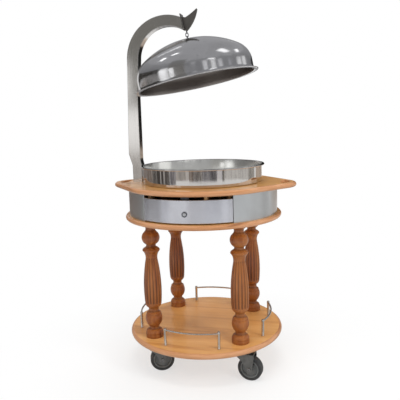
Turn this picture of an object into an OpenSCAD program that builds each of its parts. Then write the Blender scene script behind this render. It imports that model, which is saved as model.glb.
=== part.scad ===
// Carving trolley: a round two-tier wooden trolley on four turned and fluted legs and four
// swivel casters. A drawer sits in a steel apron under the top board, a loose round pan stands
// on the board, and a steel arm carries a dome cover on a small link.
// Origin on the floor under the trolley's axis, +Z up, -Y the drawer's side, +X the open side.
// Millimetres.

/* [Boards] */
// Radius of the shelf and of the cabinet floor
board_r = 330; // [318:1:345]
// Thickness of the shelf
shelf_t = 22; // [20:1:26]
// Thickness of the cabinet floor
floor_t = 20; // [16:1:26]
// Thickness of the top board
top_t = 21; // [18:1:26]

/* [Top board] */
// Radius of the top board's round middle
top_r = 325; // [318:1:335]
// Distance from the axis to the middle of each handle's round end
wing_x = 305; // [295:1:320]
// Radius of each handle's round end
wing_r = 87; // [80:1:95]
// Width of the grip outside each hand slot
grip_w = 26; // [20:1:30]
// Distance from the axis to each hand slot's inner wall
slot_x = 331; // [327:1:336]
// Corner radius of the hand slots
slot_corner_r = 8; // [4:1:12]

/* [Legs] */
// Height of a leg between the shelf and the cabinet floor
leg_h = 482; // [430:1:530]
// Distance from the axis to a leg's middle
leg_at = 256; // [250:1:262]
// Number of flutes round a leg
flute_count = 16; // [10:1:18]
// Radius of the cutter that makes a flute
flute_r = 5.6; // [4.6:0.2:6]
// Radius of the bolts that hold the legs and the arm
bolt_r = 5; // [4:0.5:6]
// Clearance round a bolt in a board
bolt_play = 0.5; // [0.2:0.1:1]
// Depth of a bolt in a leg or in the arm
bolt_grip = 34; // [24:1:40]

/* [Gallery rails] */
// Radius of the circle on which the rail posts stand
rail_at = 284; // [278:1:292]
// Half of the angle that a rail spans
rail_half_angle = 22.5; // [18:0.5:26]
// Height of a rail post
rail_post_h = 72; // [50:1:90]
// Radius of a rail post
rail_post_r = 6; // [5:0.5:8]
// Radius of the curved rail rod
rail_rod_r = 3.5; // [2.5:0.25:4]
// Distance from the top of a post to the rod's middle
rail_rod_drop = 8; // [6:1:14]
// How far the rod goes into a post
rail_rod_seat = 3; // [2:0.5:4]

/* [Cabinet] */
// Radius of the apron band
apron_r = 312.7; // [306:0.1:315]
// Height of the apron between the boards
apron_h = 105; // [100:1:130]
// Thickness of the steel sheet
sheet_t = 2; // [1.5:0.1:2.5]
// Half of the angle that the drawer's opening spans
opening_half_angle = 34; // [32:0.5:35]
// Depth of the turned-in flanges beside the opening
jamb_w = 12; // [8:1:14]
// Distance from the axis to each cheek's inner face
cheek_x = 151; // [149:0.5:152]
// Thickness of the cheeks
cheek_t = 13; // [10:0.5:14]
// Half length of the cheeks
cheek_half_l = 238; // [225:1:240]

/* [Drawer] */
// Gap between the drawer front and the sides of its opening
front_gap = 2.5; // [1.5:0.25:4]
// Gap under the drawer front
front_gap_low = 4; // [3:0.5:6]
// Gap over the drawer front
front_gap_high = 12; // [9:0.5:16]
// Depth of the turned-in lip along the drawer front's top
front_lip = 8; // [5:0.5:9]
// Distance from the axis to the outside of the box's front wall
box_front_y = 262; // [258:1:264]
// Length of the drawer box
box_l = 410; // [380:1:430]
// Height of the drawer box
box_h = 70; // [60:1:74]
// Thickness of the drawer box's walls
box_wall = 9; // [6:0.5:12]
// Thickness of the drawer box's bottom
box_bottom = 6; // [4:0.5:8]
// How far the drawer's bottom sheet reaches under the box
front_tail = 20; // [12:1:40]
// Width of the gap that each drawer slide fills
slide_w = 13; // [12.5:0.5:14]
// Distance from the axis to the block that stops the drawer as it closes
stop_x = 78; // [60:1:90]
// Height of a drawer slide
slide_h = 45; // [35:1:46]
// Length of the drawer slides
slide_l = 380; // [340:5:385]
// Thickness of a slide's steel
slide_wall = 2; // [1.5:0.1:2.4]
// Clearance between the inner and the outer slide
slide_play = 0.5; // [0.4:0.1:0.8]

/* [Lock] */
// Height of the lock's middle above the cabinet floor
lock_h = 40; // [34:1:48]
// Radius of the lock's flange
lock_r = 11; // [9:0.5:13]
// Radius of the lock's barrel
lock_barrel_r = 9; // [7:0.5:10]
// Radius of the plug that the key turns
lock_plug_r = 6; // [4.5:0.5:7]
// Clearance round the plug
lock_play = 0.05; // [0.03:0.01:0.1]
// Length of the cam from the lock's middle to its tip
cam_l = 49; // [47:0.5:51]
// Width of the cam
cam_w = 14; // [10:1:16]
// Thickness of the cam and of its catch
cam_t = 2; // [1.5:0.1:2.5]
// Height of the catch that hangs from the top board
catch_h = 24; // [22:1:26]
// Gap between the cam and its catch
catch_gap = 1; // [0.6:0.1:2]

/* [Casters] */
// Distance from the axis to a caster's kingpin
caster_at = 264; // [262:1:266]
// Height of a caster from the floor to the shelf
caster_h = 128; // [126:1:140]
// Radius of a wheel
wheel_r = 50; // [44:1:51]
// Width of a wheel
wheel_w = 32; // [26:1:34]
// Height of the tyre over its rim
tyre_t = 12; // [8:0.5:14]
// Radius of the axle
axle_r = 4; // [3:0.5:6]
// Running clearance round the axle and the kingpin
turn_play = 0.05; // [0.03:0.01:0.1]
// Distance that the wheel trails behind the kingpin
trail = 35; // [28:1:38]
// Gap between the wheel and each side of its fork
fork_gap = 3; // [2:0.5:5]
// Thickness of the fork's steel
fork_t = 3; // [2:0.5:3.5]
// Radius of the kingpin
kingpin_r = 6; // [5:0.5:8]
// Length of the mounting plate
plate_l = 90; // [86:1:94]
// Width of the mounting plate
plate_w = 72; // [70:1:76]
// Thickness of the mounting plate
plate_t = 3; // [2:0.5:4]
// Distance between the mounting screws along the plate
screw_x = 72; // [68:1:74]
// Distance between the mounting screws across the plate
screw_y = 54; // [50:1:56]
// Radius of the mounting screws
screw_r = 3; // [2.5:0.25:3.5]
// Length of the mounting screws in the shelf
screw_l = 16; // [12:1:18]

/* [Pan] */
// Radius of the pan's wall
pan_r = 250; // [240:1:252]
// Height of the pan
pan_h = 74; // [60:1:90]
// Thickness of the pan's sheet
pan_t = 2; // [1.5:0.1:2.5]
// Radius of the corner between the pan's wall and its bottom
pan_corner_r = 6; // [5:1:16]
// How far the pan's rim stands out from its wall
pan_rim = 11; // [9:0.5:12]
// Radius of the rolled edge of the rim
pan_roll_r = 3; // [2.5:0.25:4]

/* [Arm] */
// Width of the arm across the trolley
arm_w = 40; // [32:1:44]
// Thickness of the arm's sheet
arm_wall = 3; // [2:0.5:4]
// Distance from the axis to the arm's inner face above the pan
arm_in_x = 268.5; // [268.5:0.1:272]
// Distance from the axis to the arm's outer face
arm_out_x = 320; // [316:1:322]
// Distance from the axis to the inner face of the arm's foot
foot_in_x = 263.5; // [262.5:0.5:265]
// Distance from the axis to the outer face of the arm's foot
foot_out_x = 305; // [302:1:306]
// Height of the straight foot above the board
foot_h = 71; // [60:1:80]
// Height above the foot over which the arm widens
flare_h = 50; // [40:1:60]
// Height of the bend's middle above the top board
bend_h = 513; // [505:1:530]
// Radius of the outside of the bend
bend_out_r = 172; // [168:1:176]
// Radius of the inside of the bend
bend_in_r = 128; // [124:1:131]
// Thickness of the plate under the board that the arm is bolted to
arm_plate_t = 4; // [3:0.5:6]
// Distance between the arm's two bolts
arm_bolt_gap = 22; // [20:1:24]
// Thickness of the crest's plates
crest_t = 5; // [4:0.5:6]

/* [Dome] */
// Radius of the dome's flange
dome_flange_r = 258.5; // [255:0.5:258.5]
// Radius of the dome's skirt
dome_r = 241; // [236:1:243]
// Height of the dome
dome_h = 175.5; // [165:0.5:185]
// Height of the upright skirt at the dome's rim
skirt_h = 42; // [36:1:48]
// Radius of the crown's curve
crown_r = 360; // [340:5:380]
// Thickness of the dome's sheet
dome_t = 2; // [1.5:0.1:2.5]
// Lean of the dome towards the arm, in degrees
dome_tilt = 10.6; // [9:0.1:12]
// Clearance between the dome's flange and the arm
dome_play = 0.8; // [0.6:0.1:2]
// Height of the middle of the dome's rim above the top board
dome_lift = 411; // [405:1:420]
// Lean of the link towards the arm, in degrees
link_lean = 8; // [4:0.5:12]
// Radius of the wire of the link and of the two eyes
wire_r = 1.6; // [1.2:0.1:2]
// Radius of the eyes to the middle of their wire
eye_r = 5.4; // [5:0.1:6.5]
// Distance between the link's two bearing points
link_l = 10; // [10:0.5:14]
// Clearance between the link's wire and each eye
link_play = 0.3; // [0.3:0.05:0.5]
// Radius of the boss on the dome's top
boss_r = 9; // [7:0.5:12]
// Height of the boss over the dome's top
boss_h = 4; // [4:0.5:8]

/* [Hidden] */

$fn = 96;
over = 1; // how far a cut runs past the face it opens
seam = 0.04; // step that keeps two arcs from touching along a line

// Heights of the stack, from the floor up
shelf_top = caster_h + shelf_t;
leg_top = shelf_top + leg_h;
cabinet_z = leg_top + floor_t;
top_under = cabinet_z + apron_h;
top_z = top_under + top_t;

// Directions of the four corners and of the four rails, and the way each wheel trails
FRONT_LEFT = 225;
FRONT_RIGHT = 315;
BACK_LEFT = 135;
BACK_RIGHT = 45;
CORNERS = [FRONT_LEFT, FRONT_RIGHT, BACK_LEFT, BACK_RIGHT];
RAILS = [270, 0, 90, 180];
front_left_turn = 20;
front_right_turn = -10;
back_left_turn = 160;
back_right_turn = 25;

// Bolt heads
head_h = 6.4;
head_r = 9.2;
washer_r = 10.5;
washer_t = 1.5;
sink_r = 12;
sink_h = 9;
rail_screw_r = 2.5;
rail_screw_head_r = 4.5;
rail_screw_head_h = 3;
rail_screw_grip = 20;

// Turning of a leg from its foot up: height, radius, and the bulge of the arc to the next point
LEG_LOW = [[0, 35.5, 0], [14, 35.5, 0], [14, 34.2, 0], [15.5, 34.2, 1.6], [25, 33.6, 1.2],
    [34, 27, -1.8], [42, 20.8, -0.7], [48, 21.6, 7.4], [97, 31.6, 0], [97, 30, 0],
    [99, 30.6, 0.8], [106, 28.4, -1.6], [116, 20.4, -0.5], [123, 20.6, -0.5],
    [129, 24.4, 1.8]];
VASE_LOW = [143, 33.4];
VASE_HIGH = [329, 24.8];
VASE_BULGE = 6.5;
NECK_BULGE = -0.4;
LEG_HIGH = [[342, 24.2, -2.2], [366, 33.6, 0], [367.5, 35, 0.6], [373, 34.6, 0.8],
    [381, 25.4, -1.2], [388, 19.6, -0.5], [394, 20.6, 13], [444, 26.2, 0], [444, 24.8, 0],
    [447, 24.2, -0.9], [454, 19.8, -0.4], [462, 20, -0.8], [469, 25.5, 0], [482, 25.5, 0]];
flute_low = [150, 37.4];
flute_high = [336, 28];
flute_bulge = 6.2;

// Drawer, slides and lock
front_r = apron_r;
front_z0 = cabinet_z + front_gap_low;
front_z1 = top_under - front_gap_high;
front_half_angle = opening_half_angle - front_gap / apron_r * 180 / PI;
box_x = cheek_x - slide_w;
box_z = front_z0 + sheet_t;
slide_z = box_z + (box_h - slide_h) / 2;
slide_y = -cheek_half_l;
slide_lip = 5;
slide_back = 7;
lock_z = cabinet_z + lock_h;
flange_t = 3;
lock_body_l = 12;
cam_gap = 1;
cam_y = -front_r + sheet_t + lock_body_l + cam_gap;
catch_y = cam_y - catch_gap;
catch_foot = 14;
catch_half_w = 16;
stop_w = 12;
stop_l = 26;
stop_play = 0.4;

// Casters, in each caster's own directions: x the trail, y the axle
fork_half = wheel_w / 2 + fork_gap;
cup_r = 24;
cup_h = 11;
crown_z = caster_h - plate_t - cup_h;
crown_t = 3.5;
crown_r0 = 28;
pin_head_r = 9;
pin_head_h = 3;
pin_gap = 0.4;
fork_front = 19; // how far the fork's crown reaches beyond the axle
fork_back = 22; // and behind the kingpin

// Arm and dome
stud_r = 3;
dome_axis = [-sin(dome_tilt), 0, cos(dome_tilt)];
rim_z = top_z + dome_lift;
rim_x = -arm_in_x + dome_play + dome_flange_r * cos(dome_tilt);
apex = [rim_x, 0, rim_z] + dome_axis * dome_h;
boss_top = apex + dome_axis * boss_h;
stud_eye = boss_top + dome_axis * (eye_r - 0.4);
tilt_pivot = stud_eye + dome_axis * eye_r;
link_dir = [-sin(link_lean), 0, cos(link_lean)];
swing_pivot = tilt_pivot + link_dir * link_l;
hook_centre = swing_pivot + [0, 0, eye_r];
neck_z = hook_centre[2] + eye_r - 0.4;
bend_out_step = 12; // how far the arm's outer face leans in up to the bend
bend_in_step = 10.5; // and its inner face
bend_out_x = -arm_out_x + bend_out_step + bend_out_r;
bend_in_x = -arm_in_x + bend_in_step + bend_in_r;
bend_z = top_z + bend_h;
arm_straight_h = 360;
foot_taper_h = 22;
tip_slope = 0.21;
tip_reach = 75.5; // way from the bend's middle to the arm's cut tip
tip_rise = 106; // height of that point of the tip over the bend's middle
tip_x = bend_out_x + tip_reach;
tip_z = bend_z + tip_rise;
crest_low = 6; // lower and upper edge of the crest's end plate over that point
crest_high = 66;

// Corners of the crest's beak, each as its way from the neck's foot in x and in height
BEAK_NOSE = [47, 81];
BEAK_TIP = [44, 86];
BEAK_BACK = [41, 84];
BEAK_ROOT = [-5, 54];

// Points along an arc from a to b that bulges by s to the right of the way from a to b
function arc_points(a, b, s, n) =
    let (d = b - a, l = norm(d), u = d / l, w = [u[1], -u[0]])
    s == 0 ? [a, b] :
    let (r = (l * l / 4 + s * s) / (2 * s), sweep = 4 * atan(2 * s / l))
    let (c = (a + b) / 2 - w * (r - s))
    [for (k = [0 : n]) let (t = sweep * (k / n - 0.5)) c + r * (w * cos(t) + u * sin(t))];

// Middle of the circle of such an arc, and the circle's radius
function arc_centre(a, b, s) =
    let (d = b - a, l = norm(d), u = d / l, w = [u[1], -u[0]], r = arc_radius(a, b, s))
    (a + b) / 2 - w * (r - s);
function arc_radius(a, b, s) = let (l = norm(b - a)) (l * l / 4 + s * s) / (2 * s);

// Outline through stations of height, radius and bulge, as points of radius and height
function turned(rows) = [for (i = [0 : len(rows) - 2])
    let (p = [rows[i][1], rows[i][0]], q = [rows[i + 1][1], rows[i + 1][0]])
    each arc_points(p, q, rows[i][2], abs(rows[i][2]) > 3 ? 10 : 4)];

// Part of a flat ring between two angles less than a half turn apart
module ring_sector(r_out, r_in, a0, a1) {
    reach = r_out * 1.5;
    mid = (a0 + a1) / 2;
    intersection() {
        difference() {
            circle(r_out);
            circle(r_in);
        }
        polygon([[0, 0], reach * [cos(a0), sin(a0)], 1.5 * reach * [cos(mid), sin(mid)],
            reach * [cos(a1), sin(a1)]]);
    }
}

// Section of a board of thickness t with a half-round edge, the edge depth away from x = 0
module edge_section(depth, t) {
    square([depth - t / 2, t]);
    intersection() {
        translate([depth - t / 2, t / 2]) circle(t / 2);
        translate([depth - t / 2, 0]) square([t / 2, t]);
    }
}

// Round board with a half-round edge
module round_board(r, t) {
    rotate_extrude() edge_section(r, t);
}

module at_corners(radius) {
    for (a = CORNERS) {
        translate([radius * cos(a), radius * sin(a), 0]) children();
    }
}

// Bolt with a flanged hexagon head, its shank pointing up from z = 0
module flange_bolt(shank_l) {
    cylinder(r = bolt_r, h = shank_l, $fn = 48);
    translate([0, 0, -washer_t]) cylinder(r = washer_r, h = washer_t, $fn = 48);
    translate([0, 0, -washer_t - head_h]) cylinder(r = head_r, h = head_h, $fn = 6);
}

// ---- Wooden frame ----

module shelf() {
    color("#d69a58") difference() {
        translate([0, 0, caster_h]) round_board(board_r, shelf_t);
        at_corners(leg_at) {
            translate([0, 0, caster_h - over]) cylinder(r = bolt_r + bolt_play, h = shelf_t + 2 * over);
            translate([0, 0, caster_h - over]) cylinder(r = sink_r, h = sink_h + over);
        }
        for (a = RAILS, s = [-1, 1]) {
            rotate([0, 0, a + s * rail_half_angle]) translate([rail_at, 0, caster_h - over]) {
                cylinder(r = rail_screw_r + 0.3, h = shelf_t + 2 * over);
                cylinder(r = rail_screw_head_r + 0.5, h = rail_screw_head_h + 1 + over);
            }
        }
        at_casters() screw_places() translate([0, 0, -over]) {
            cylinder(r = screw_r, h = screw_l + over);
        }
    }
}

module cabinet_floor() {
    color("#c98a52") difference() {
        translate([0, 0, leg_top]) round_board(board_r, floor_t);
        at_corners(leg_at) {
            translate([0, 0, leg_top - over]) cylinder(r = bolt_r + bolt_play, h = floor_t + 2 * over);
        }
    }
}

// D-shaped hand slot with round corners, its outer wall round the handle's middle
module slot_outline() {
    r = wing_r - grip_w;
    flat = slot_x - wing_x;
    corner_x = flat + slot_corner_r;
    corner_y = sqrt(pow(r - slot_corner_r, 2) - pow(corner_x, 2));
    reach = 2 * r;
    away = reach * [corner_x, corner_y] / (r - slot_corner_r);
    intersection() {
        circle(r);
        polygon([[0, 0], [away[0], -away[1]], [reach, 0], away]);
        translate([corner_x, -r]) square([r, 2 * r]);
    }
    translate([flat, -corner_y]) square([slot_corner_r, 2 * corner_y]);
    for (s = [-1, 1]) {
        translate([corner_x, s * corner_y]) circle(slot_corner_r - seam);
    }
}

// Round board drawn out to the two handles, with the half-round edge all round
module board_with_wings() {
    hull() {
        rotate_extrude() edge_section(top_r, top_t, $fn = 24);
        for (side = [-1, 1]) translate([side * wing_x, 0, 0]) {
            rotate_extrude($fn = 64) edge_section(wing_r, top_t, $fn = 24);
        }
    }
}

module top_board() {
    color("#d9a066") difference() {
        translate([0, 0, top_under]) board_with_wings();
        for (side = [0, 180]) rotate([0, 0, side]) {
            translate([wing_x, 0, top_under - over]) linear_extrude(top_t + 2 * over) slot_outline();
        }
        arm_bolt_places() translate([0, 0, top_under - over]) {
            cylinder(r = bolt_r + bolt_play, h = top_t + 2 * over);
        }
    }
}

// A leg with its flutes, the heights of its turning drawn out to the leg's own height
module leg_body() {
    rows = concat(LEG_LOW, [[VASE_LOW[0], VASE_LOW[1], VASE_BULGE],
        [VASE_HIGH[0], VASE_HIGH[1], NECK_BULGE]], LEG_HIGH);
    stretch = leg_h / LEG_HIGH[len(LEG_HIGH) - 1][0];
    outline = turned([for (row = rows) [row[0] * stretch, row[1], row[2]]]);
    low = [flute_low[1], flute_low[0] * stretch];
    high = [flute_high[1], flute_high[0] * stretch];
    mid = arc_centre(low, high, flute_bulge);
    bend = arc_radius(low, high, flute_bulge);
    a0 = atan2(low[1] - mid[1], low[0] - mid[0]);
    a1 = atan2(high[1] - mid[1], high[0] - mid[0]);
    difference() {
        rotate_extrude() polygon(concat([[0, 0]], outline, [[0, leg_h]]));
        for (k = [0 : flute_count - 1]) rotate([0, 0, k * 360 / flute_count]) {
            translate([mid[0], 0, mid[1]]) rotate([90, 0, 0]) rotate([0, 0, a0]) {
                rotate_extrude(angle = a1 - a0, $fn = 96) translate([bend, 0]) circle(flute_r, $fn = 24);
            }
            translate([low[0], 0, low[1]]) sphere(flute_r, $fn = 24);
            translate([high[0], 0, high[1]]) sphere(flute_r, $fn = 24);
        }
        translate([0, 0, -over]) cylinder(r = bolt_r, h = bolt_grip + 4 + over, $fn = 48);
        translate([0, 0, leg_h - bolt_grip - 4]) cylinder(r = bolt_r, h = bolt_grip + 4 + over, $fn = 48);
    }
}

module leg(corner) {
    color("#8a4b2a") {
        translate([leg_at * cos(corner), leg_at * sin(corner), shelf_top]) leg_body();
    }
}

// Bolts of the legs, from below and from above, and of the arm's foot
module frame_bolts() {
    color("#8f9194") {
        at_corners(leg_at) {
            translate([0, 0, caster_h + sink_h]) flange_bolt(shelf_t - sink_h + bolt_grip);
            translate([0, 0, cabinet_z]) mirror([0, 0, 1]) flange_bolt(floor_t + bolt_grip);
        }
        arm_bolt_places() translate([0, 0, top_under - arm_plate_t]) {
            flange_bolt(arm_plate_t + top_t + bolt_grip);
        }
    }
}

// ---- Gallery rails ----

module rail_arc(half_angle, r) {
    rotate([0, 0, -half_angle]) rotate_extrude(angle = 2 * half_angle) {
        translate([rail_at, 0]) circle(r, $fn = 32);
    }
}

module rail_rod(side) {
    seated = rail_half_angle - (rail_post_r - rail_rod_seat) / rail_at * 180 / PI;
    color("#b9b7b4") translate([0, 0, shelf_top + rail_post_h - rail_rod_drop]) {
        rotate([0, 0, side]) rail_arc(seated, rail_rod_r);
    }
}

module rail_posts(side) {
    chamfer = 1.2;
    color("#b9b7b4") difference() {
        for (s = [-1, 1]) rotate([0, 0, side + s * rail_half_angle]) {
            translate([rail_at, 0, shelf_top]) rotate_extrude($fn = 48) {
                polygon([[0, 0], [rail_post_r, 0], [rail_post_r, rail_post_h - chamfer],
                    [rail_post_r - chamfer, rail_post_h], [0, rail_post_h]]);
            }
        }
        rail_rod(side);
        for (s = [-1, 1]) rotate([0, 0, side + s * rail_half_angle]) {
            translate([rail_at, 0, shelf_top - over]) {
                cylinder(r = rail_screw_r, h = rail_screw_grip + 1 + over);
            }
        }
    }
}

module rail_screws() {
    color("#8f9092") for (a = RAILS, s = [-1, 1]) {
        rotate([0, 0, a + s * rail_half_angle]) translate([rail_at, 0, caster_h + 1]) {
            cylinder(r = rail_screw_head_r, h = rail_screw_head_h, $fn = 32);
            cylinder(r = rail_screw_r, h = shelf_t - 1 + rail_screw_grip, $fn = 32);
        }
    }
}

// ---- Cabinet ----

module apron_band() {
    open_from = 270 - opening_half_angle;
    reach = 2 * apron_r;
    color("#b7bcc2") translate([0, 0, cabinet_z]) linear_extrude(apron_h) difference() {
        union() {
            difference() {
                circle(apron_r);
                circle(apron_r - sheet_t);
            }
            for (m = [-1, 1]) rotate(-90 + m * opening_half_angle) {
                translate([apron_r - sheet_t / 2 - jamb_w, -sheet_t]) square([jamb_w, 2 * sheet_t]);
            }
        }
        polygon([[0, 0], reach * [cos(open_from), sin(open_from)], [0, -reach],
            reach * [-cos(open_from), sin(open_from)]]);
    }
}

module cheek(side) {
    color("#c9a26e") {
        x = side < 0 ? -cheek_x - cheek_t : cheek_x;
        translate([x, -cheek_half_l, cabinet_z]) cube([cheek_t, 2 * cheek_half_l, apron_h]);
    }
}

// Cross-section of a slide's outer channel, its back at x = 0 and its mouth at x = slide_w
module channel_section() {
    depth = slide_w - slide_lip;
    difference() {
        square([depth + slide_wall, slide_h]);
        translate([slide_wall, slide_wall]) square([depth - slide_wall, slide_h - 2 * slide_wall]);
        translate([slide_wall, slide_back]) square([depth + over, slide_h - 2 * slide_back]);
    }
}

// Cross-section of a slide's inner rail, in the same directions
module rail_section() {
    depth = slide_w - slide_lip;
    inside = slide_wall + slide_play;
    neck = slide_back + slide_play;
    translate([inside, inside]) square([depth - slide_wall - 2 * slide_play, slide_h - 2 * inside]);
    translate([inside, neck]) square([slide_w - inside, slide_h - 2 * neck]);
}

module slide_run(side) {
    mirror([side < 0 ? 1 : 0, 0, 0]) translate([cheek_x, slide_y, slide_z]) {
        mirror([1, 0, 0]) translate([0, slide_l, 0]) rotate([90, 0, 0]) {
            linear_extrude(slide_l) children();
        }
    }
}

module slide_outer(side) {
    color("#9fa3a6") slide_run(side) channel_section();
}

module slide_inner(side) {
    color("#b5b8ba") slide_run(side) rail_section();
}

module drawer_catch() {
    color("#a4a7aa") {
        translate([-catch_half_w, catch_y - cam_t, top_under - catch_h]) {
            cube([2 * catch_half_w, cam_t, catch_h]);
        }
        translate([-catch_half_w, catch_y - cam_t, top_under - cam_t]) {
            cube([2 * catch_half_w, catch_foot, cam_t]);
        }
    }
}

// Block behind the lip of the drawer front, which stops the drawer as it closes
module drawer_stop() {
    stop_h = front_gap_high + 5;
    face_y = -sqrt(pow(front_r - front_lip, 2) - pow(stop_x + stop_w / 2, 2)) + stop_play;
    color("#d9a066") translate([stop_x - stop_w / 2, face_y, top_under - stop_h]) {
        cube([stop_w, stop_l, stop_h]);
    }
}

// ---- Drawer ----

module front_ring(r_out, r_in) {
    ring_sector(r_out, r_in, -90 - front_half_angle, -90 + front_half_angle);
}

module drawer_front() {
    inner_r = front_r - sheet_t;
    half_w = inner_r * sin(front_half_angle);
    color("#c3c6ca") difference() {
        union() {
            translate([0, 0, front_z0]) linear_extrude(front_z1 - front_z0) {
                front_ring(front_r, inner_r);
            }
            translate([0, 0, front_z1 - sheet_t]) linear_extrude(sheet_t) {
                front_ring(front_r, front_r - front_lip);
            }
            translate([0, 0, front_z0]) linear_extrude(sheet_t) intersection() {
                union() {
                    front_ring(front_r, front_r - front_lip);
                    difference() {
                        circle(front_r - sheet_t / 2);
                        translate([-2 * front_r, -box_front_y]) square(4 * front_r);
                    }
                    translate([-box_x, -box_front_y - over]) square([2 * box_x, front_tail + over]);
                }
                translate([-half_w, -front_r]) square([2 * half_w, front_r]);
            }
        }
        translate([0, 0, lock_z]) rotate([90, 0, 0]) {
            cylinder(r = lock_barrel_r, h = front_r + over, $fn = 64);
        }
    }
}

module drawer_box() {
    color("#d8b98a") translate([-box_x, -box_front_y, box_z]) difference() {
        cube([2 * box_x, box_l, box_h]);
        translate([box_wall, box_wall, box_bottom]) {
            cube([2 * (box_x - box_wall), box_l - 2 * box_wall, box_h]);
        }
    }
}

// Shapes in the lock's own directions: z points out of the drawer's front
module at_lock() {
    translate([0, -front_r, lock_z]) rotate([90, 0, 0]) children();
}

module lock_barrel() {
    inside = sheet_t + lock_body_l;
    flat = front_r - sqrt(front_r * front_r - lock_r * lock_r);
    half_cut = lock_r + over;
    color("#8e9196") at_lock() difference() {
        union() {
            translate([0, 0, -inside]) cylinder(r = lock_barrel_r, h = inside + over, $fn = 64);
            difference() {
                translate([0, 0, -flat]) cylinder(r = lock_r, h = flange_t + flat, $fn = 64);
                translate([0, -half_cut, -front_r]) rotate([-90, 0, 0]) {
                    cylinder(r = front_r, h = 2 * half_cut, $fn = 360);
                }
            }
        }
        translate([0, 0, -inside - over]) {
            cylinder(r = lock_plug_r + lock_play, h = inside + flange_t + 2 * over, $fn = 64);
        }
    }
}

module lock_plug() {
    inside = sheet_t + lock_body_l + cam_gap;
    key_l = 7;
    key_w = 1.4;
    color("#c9c9c6") at_lock() difference() {
        translate([0, 0, -inside]) cylinder(r = lock_plug_r, h = inside + flange_t - 0.5, $fn = 64);
        translate([-key_w / 2, -key_l / 2, flange_t - 4]) cube([key_w, key_l, 5]);
    }
}

module lock_cam() {
    color("#9a9da1") at_lock() translate([0, 0, -sheet_t - lock_body_l - cam_gap - cam_t]) {
        linear_extrude(cam_t) {
            circle(cam_w / 2, $fn = 64);
            translate([0, -cam_w / 2]) square([cam_l - cam_w / 2, cam_w]);
            translate([cam_l - cam_w / 2, 0]) circle(cam_w / 2, $fn = 64);
        }
    }
}

// ---- Casters ----

module at_casters() {
    for (a = CORNERS) {
        translate([caster_at * cos(a), caster_at * sin(a), caster_h]) children();
    }
}

module screw_places() {
    for (x = [-1, 1], y = [-1, 1]) {
        translate([x * screw_x / 2, y * screw_y / 2, 0]) children();
    }
}

// A caster's own directions at its corner, turned so that x is the way the wheel trails
module at_caster(corner, turn) {
    translate([caster_at * cos(corner), caster_at * sin(corner), 0]) rotate([0, 0, turn]) children();
}

module caster_plate(corner) {
    corner_r = 8;
    color("#b3b5b6") at_caster(corner, 0) difference() {
        union() {
            translate([0, 0, caster_h - plate_t]) linear_extrude(plate_t) {
                square([plate_l - 2 * corner_r, plate_w], center = true);
                square([plate_l, plate_w - 2 * corner_r], center = true);
                for (x = [-1, 1], y = [-1, 1]) {
                    translate([x * (plate_l / 2 - corner_r), y * (plate_w / 2 - corner_r)]) {
                        circle(corner_r, $fn = 32);
                    }
                }
            }
            rotate_extrude($fn = 64) translate([0, crown_z + pin_gap]) {
                polygon([[0, 0], [cup_r - 2, 0], [cup_r, 2], [cup_r + 3, cup_h - pin_gap + over],
                    [0, cup_h - pin_gap + over]]);
            }
            translate([0, 0, crown_z - crown_t - pin_gap - 0.5]) {
                cylinder(r = kingpin_r, h = crown_t + 2 * pin_gap + 1, $fn = 48);
            }
            translate([0, 0, crown_z - crown_t - pin_gap - pin_head_h]) {
                cylinder(r = pin_head_r, h = pin_head_h, $fn = 48);
            }
        }
        translate([0, 0, caster_h]) screw_places() translate([0, 0, -plate_t - over]) {
            cylinder(r = screw_r + 0.4, h = plate_t + 2 * over, $fn = 32);
        }
    }
}

module caster_screws() {
    dome_h0 = 2.5;
    color("#c4c4c2") at_casters() screw_places() {
        translate([0, 0, -plate_t - dome_h0]) cylinder(r = 2 * screw_r, h = dome_h0, $fn = 32);
        translate([0, 0, -plate_t - 0.5]) cylinder(r = screw_r, h = plate_t + screw_l + 0.5, $fn = 32);
    }
}

// Side of a fork: broad at the crown, drawn in towards the axle
module fork_side() {
    boss = 13;
    top = crown_z;
    front = trail + fork_front;
    back = -fork_back;
    translate([trail, wheel_r]) circle(boss, $fn = 64);
    polygon([[trail - boss, wheel_r], [trail - boss + 1, wheel_r - 4], [trail + boss - 1, wheel_r - 4],
        [trail + boss, wheel_r], [trail + 15, wheel_r + 18], [front + 1, top - 16], [front, top],
        [back, top], [back + 1, top - 12], [trail - 30, wheel_r + 30]]);
}

module caster_fork(corner, turn) {
    outer = fork_half + fork_t;
    color("#a7a9ab") at_caster(corner, turn) difference() {
        union() {
            for (s = [-1, 1]) translate([0, s * outer, 0]) mirror([0, s > 0 ? 0 : 1, 0]) {
                rotate([90, 0, 0]) linear_extrude(fork_t) fork_side();
            }
            translate([0, 0, crown_z - crown_t]) linear_extrude(crown_t) {
                circle(crown_r0, $fn = 96);
                translate([-fork_back, -outer]) square([trail + fork_front + fork_back, 2 * outer]);
            }
        }
        translate([0, 0, crown_z - crown_t - over]) {
            cylinder(r = kingpin_r + turn_play, h = crown_t + 2 * over, $fn = 48);
        }
        translate([trail, outer + over, wheel_r]) rotate([90, 0, 0]) {
            cylinder(r = axle_r, h = 2 * (outer + over), $fn = 48);
        }
    }
}

module at_axle(corner, turn) {
    at_caster(corner, turn) translate([trail, 0, wheel_r]) rotate([90, 0, 0]) children();
}

module caster_axle(corner, turn) {
    outer = fork_half + fork_t;
    nut_r = 7.5;
    nut_h = 4;
    color("#8b8d8f") at_axle(corner, turn) {
        translate([0, 0, -outer]) cylinder(r = axle_r, h = 2 * outer, $fn = 48);
        translate([0, 0, outer]) cylinder(r = nut_r, h = nut_h, $fn = 6);
        translate([0, 0, -outer - nut_h]) cylinder(r = nut_r, h = nut_h, $fn = 6);
    }
}

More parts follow.
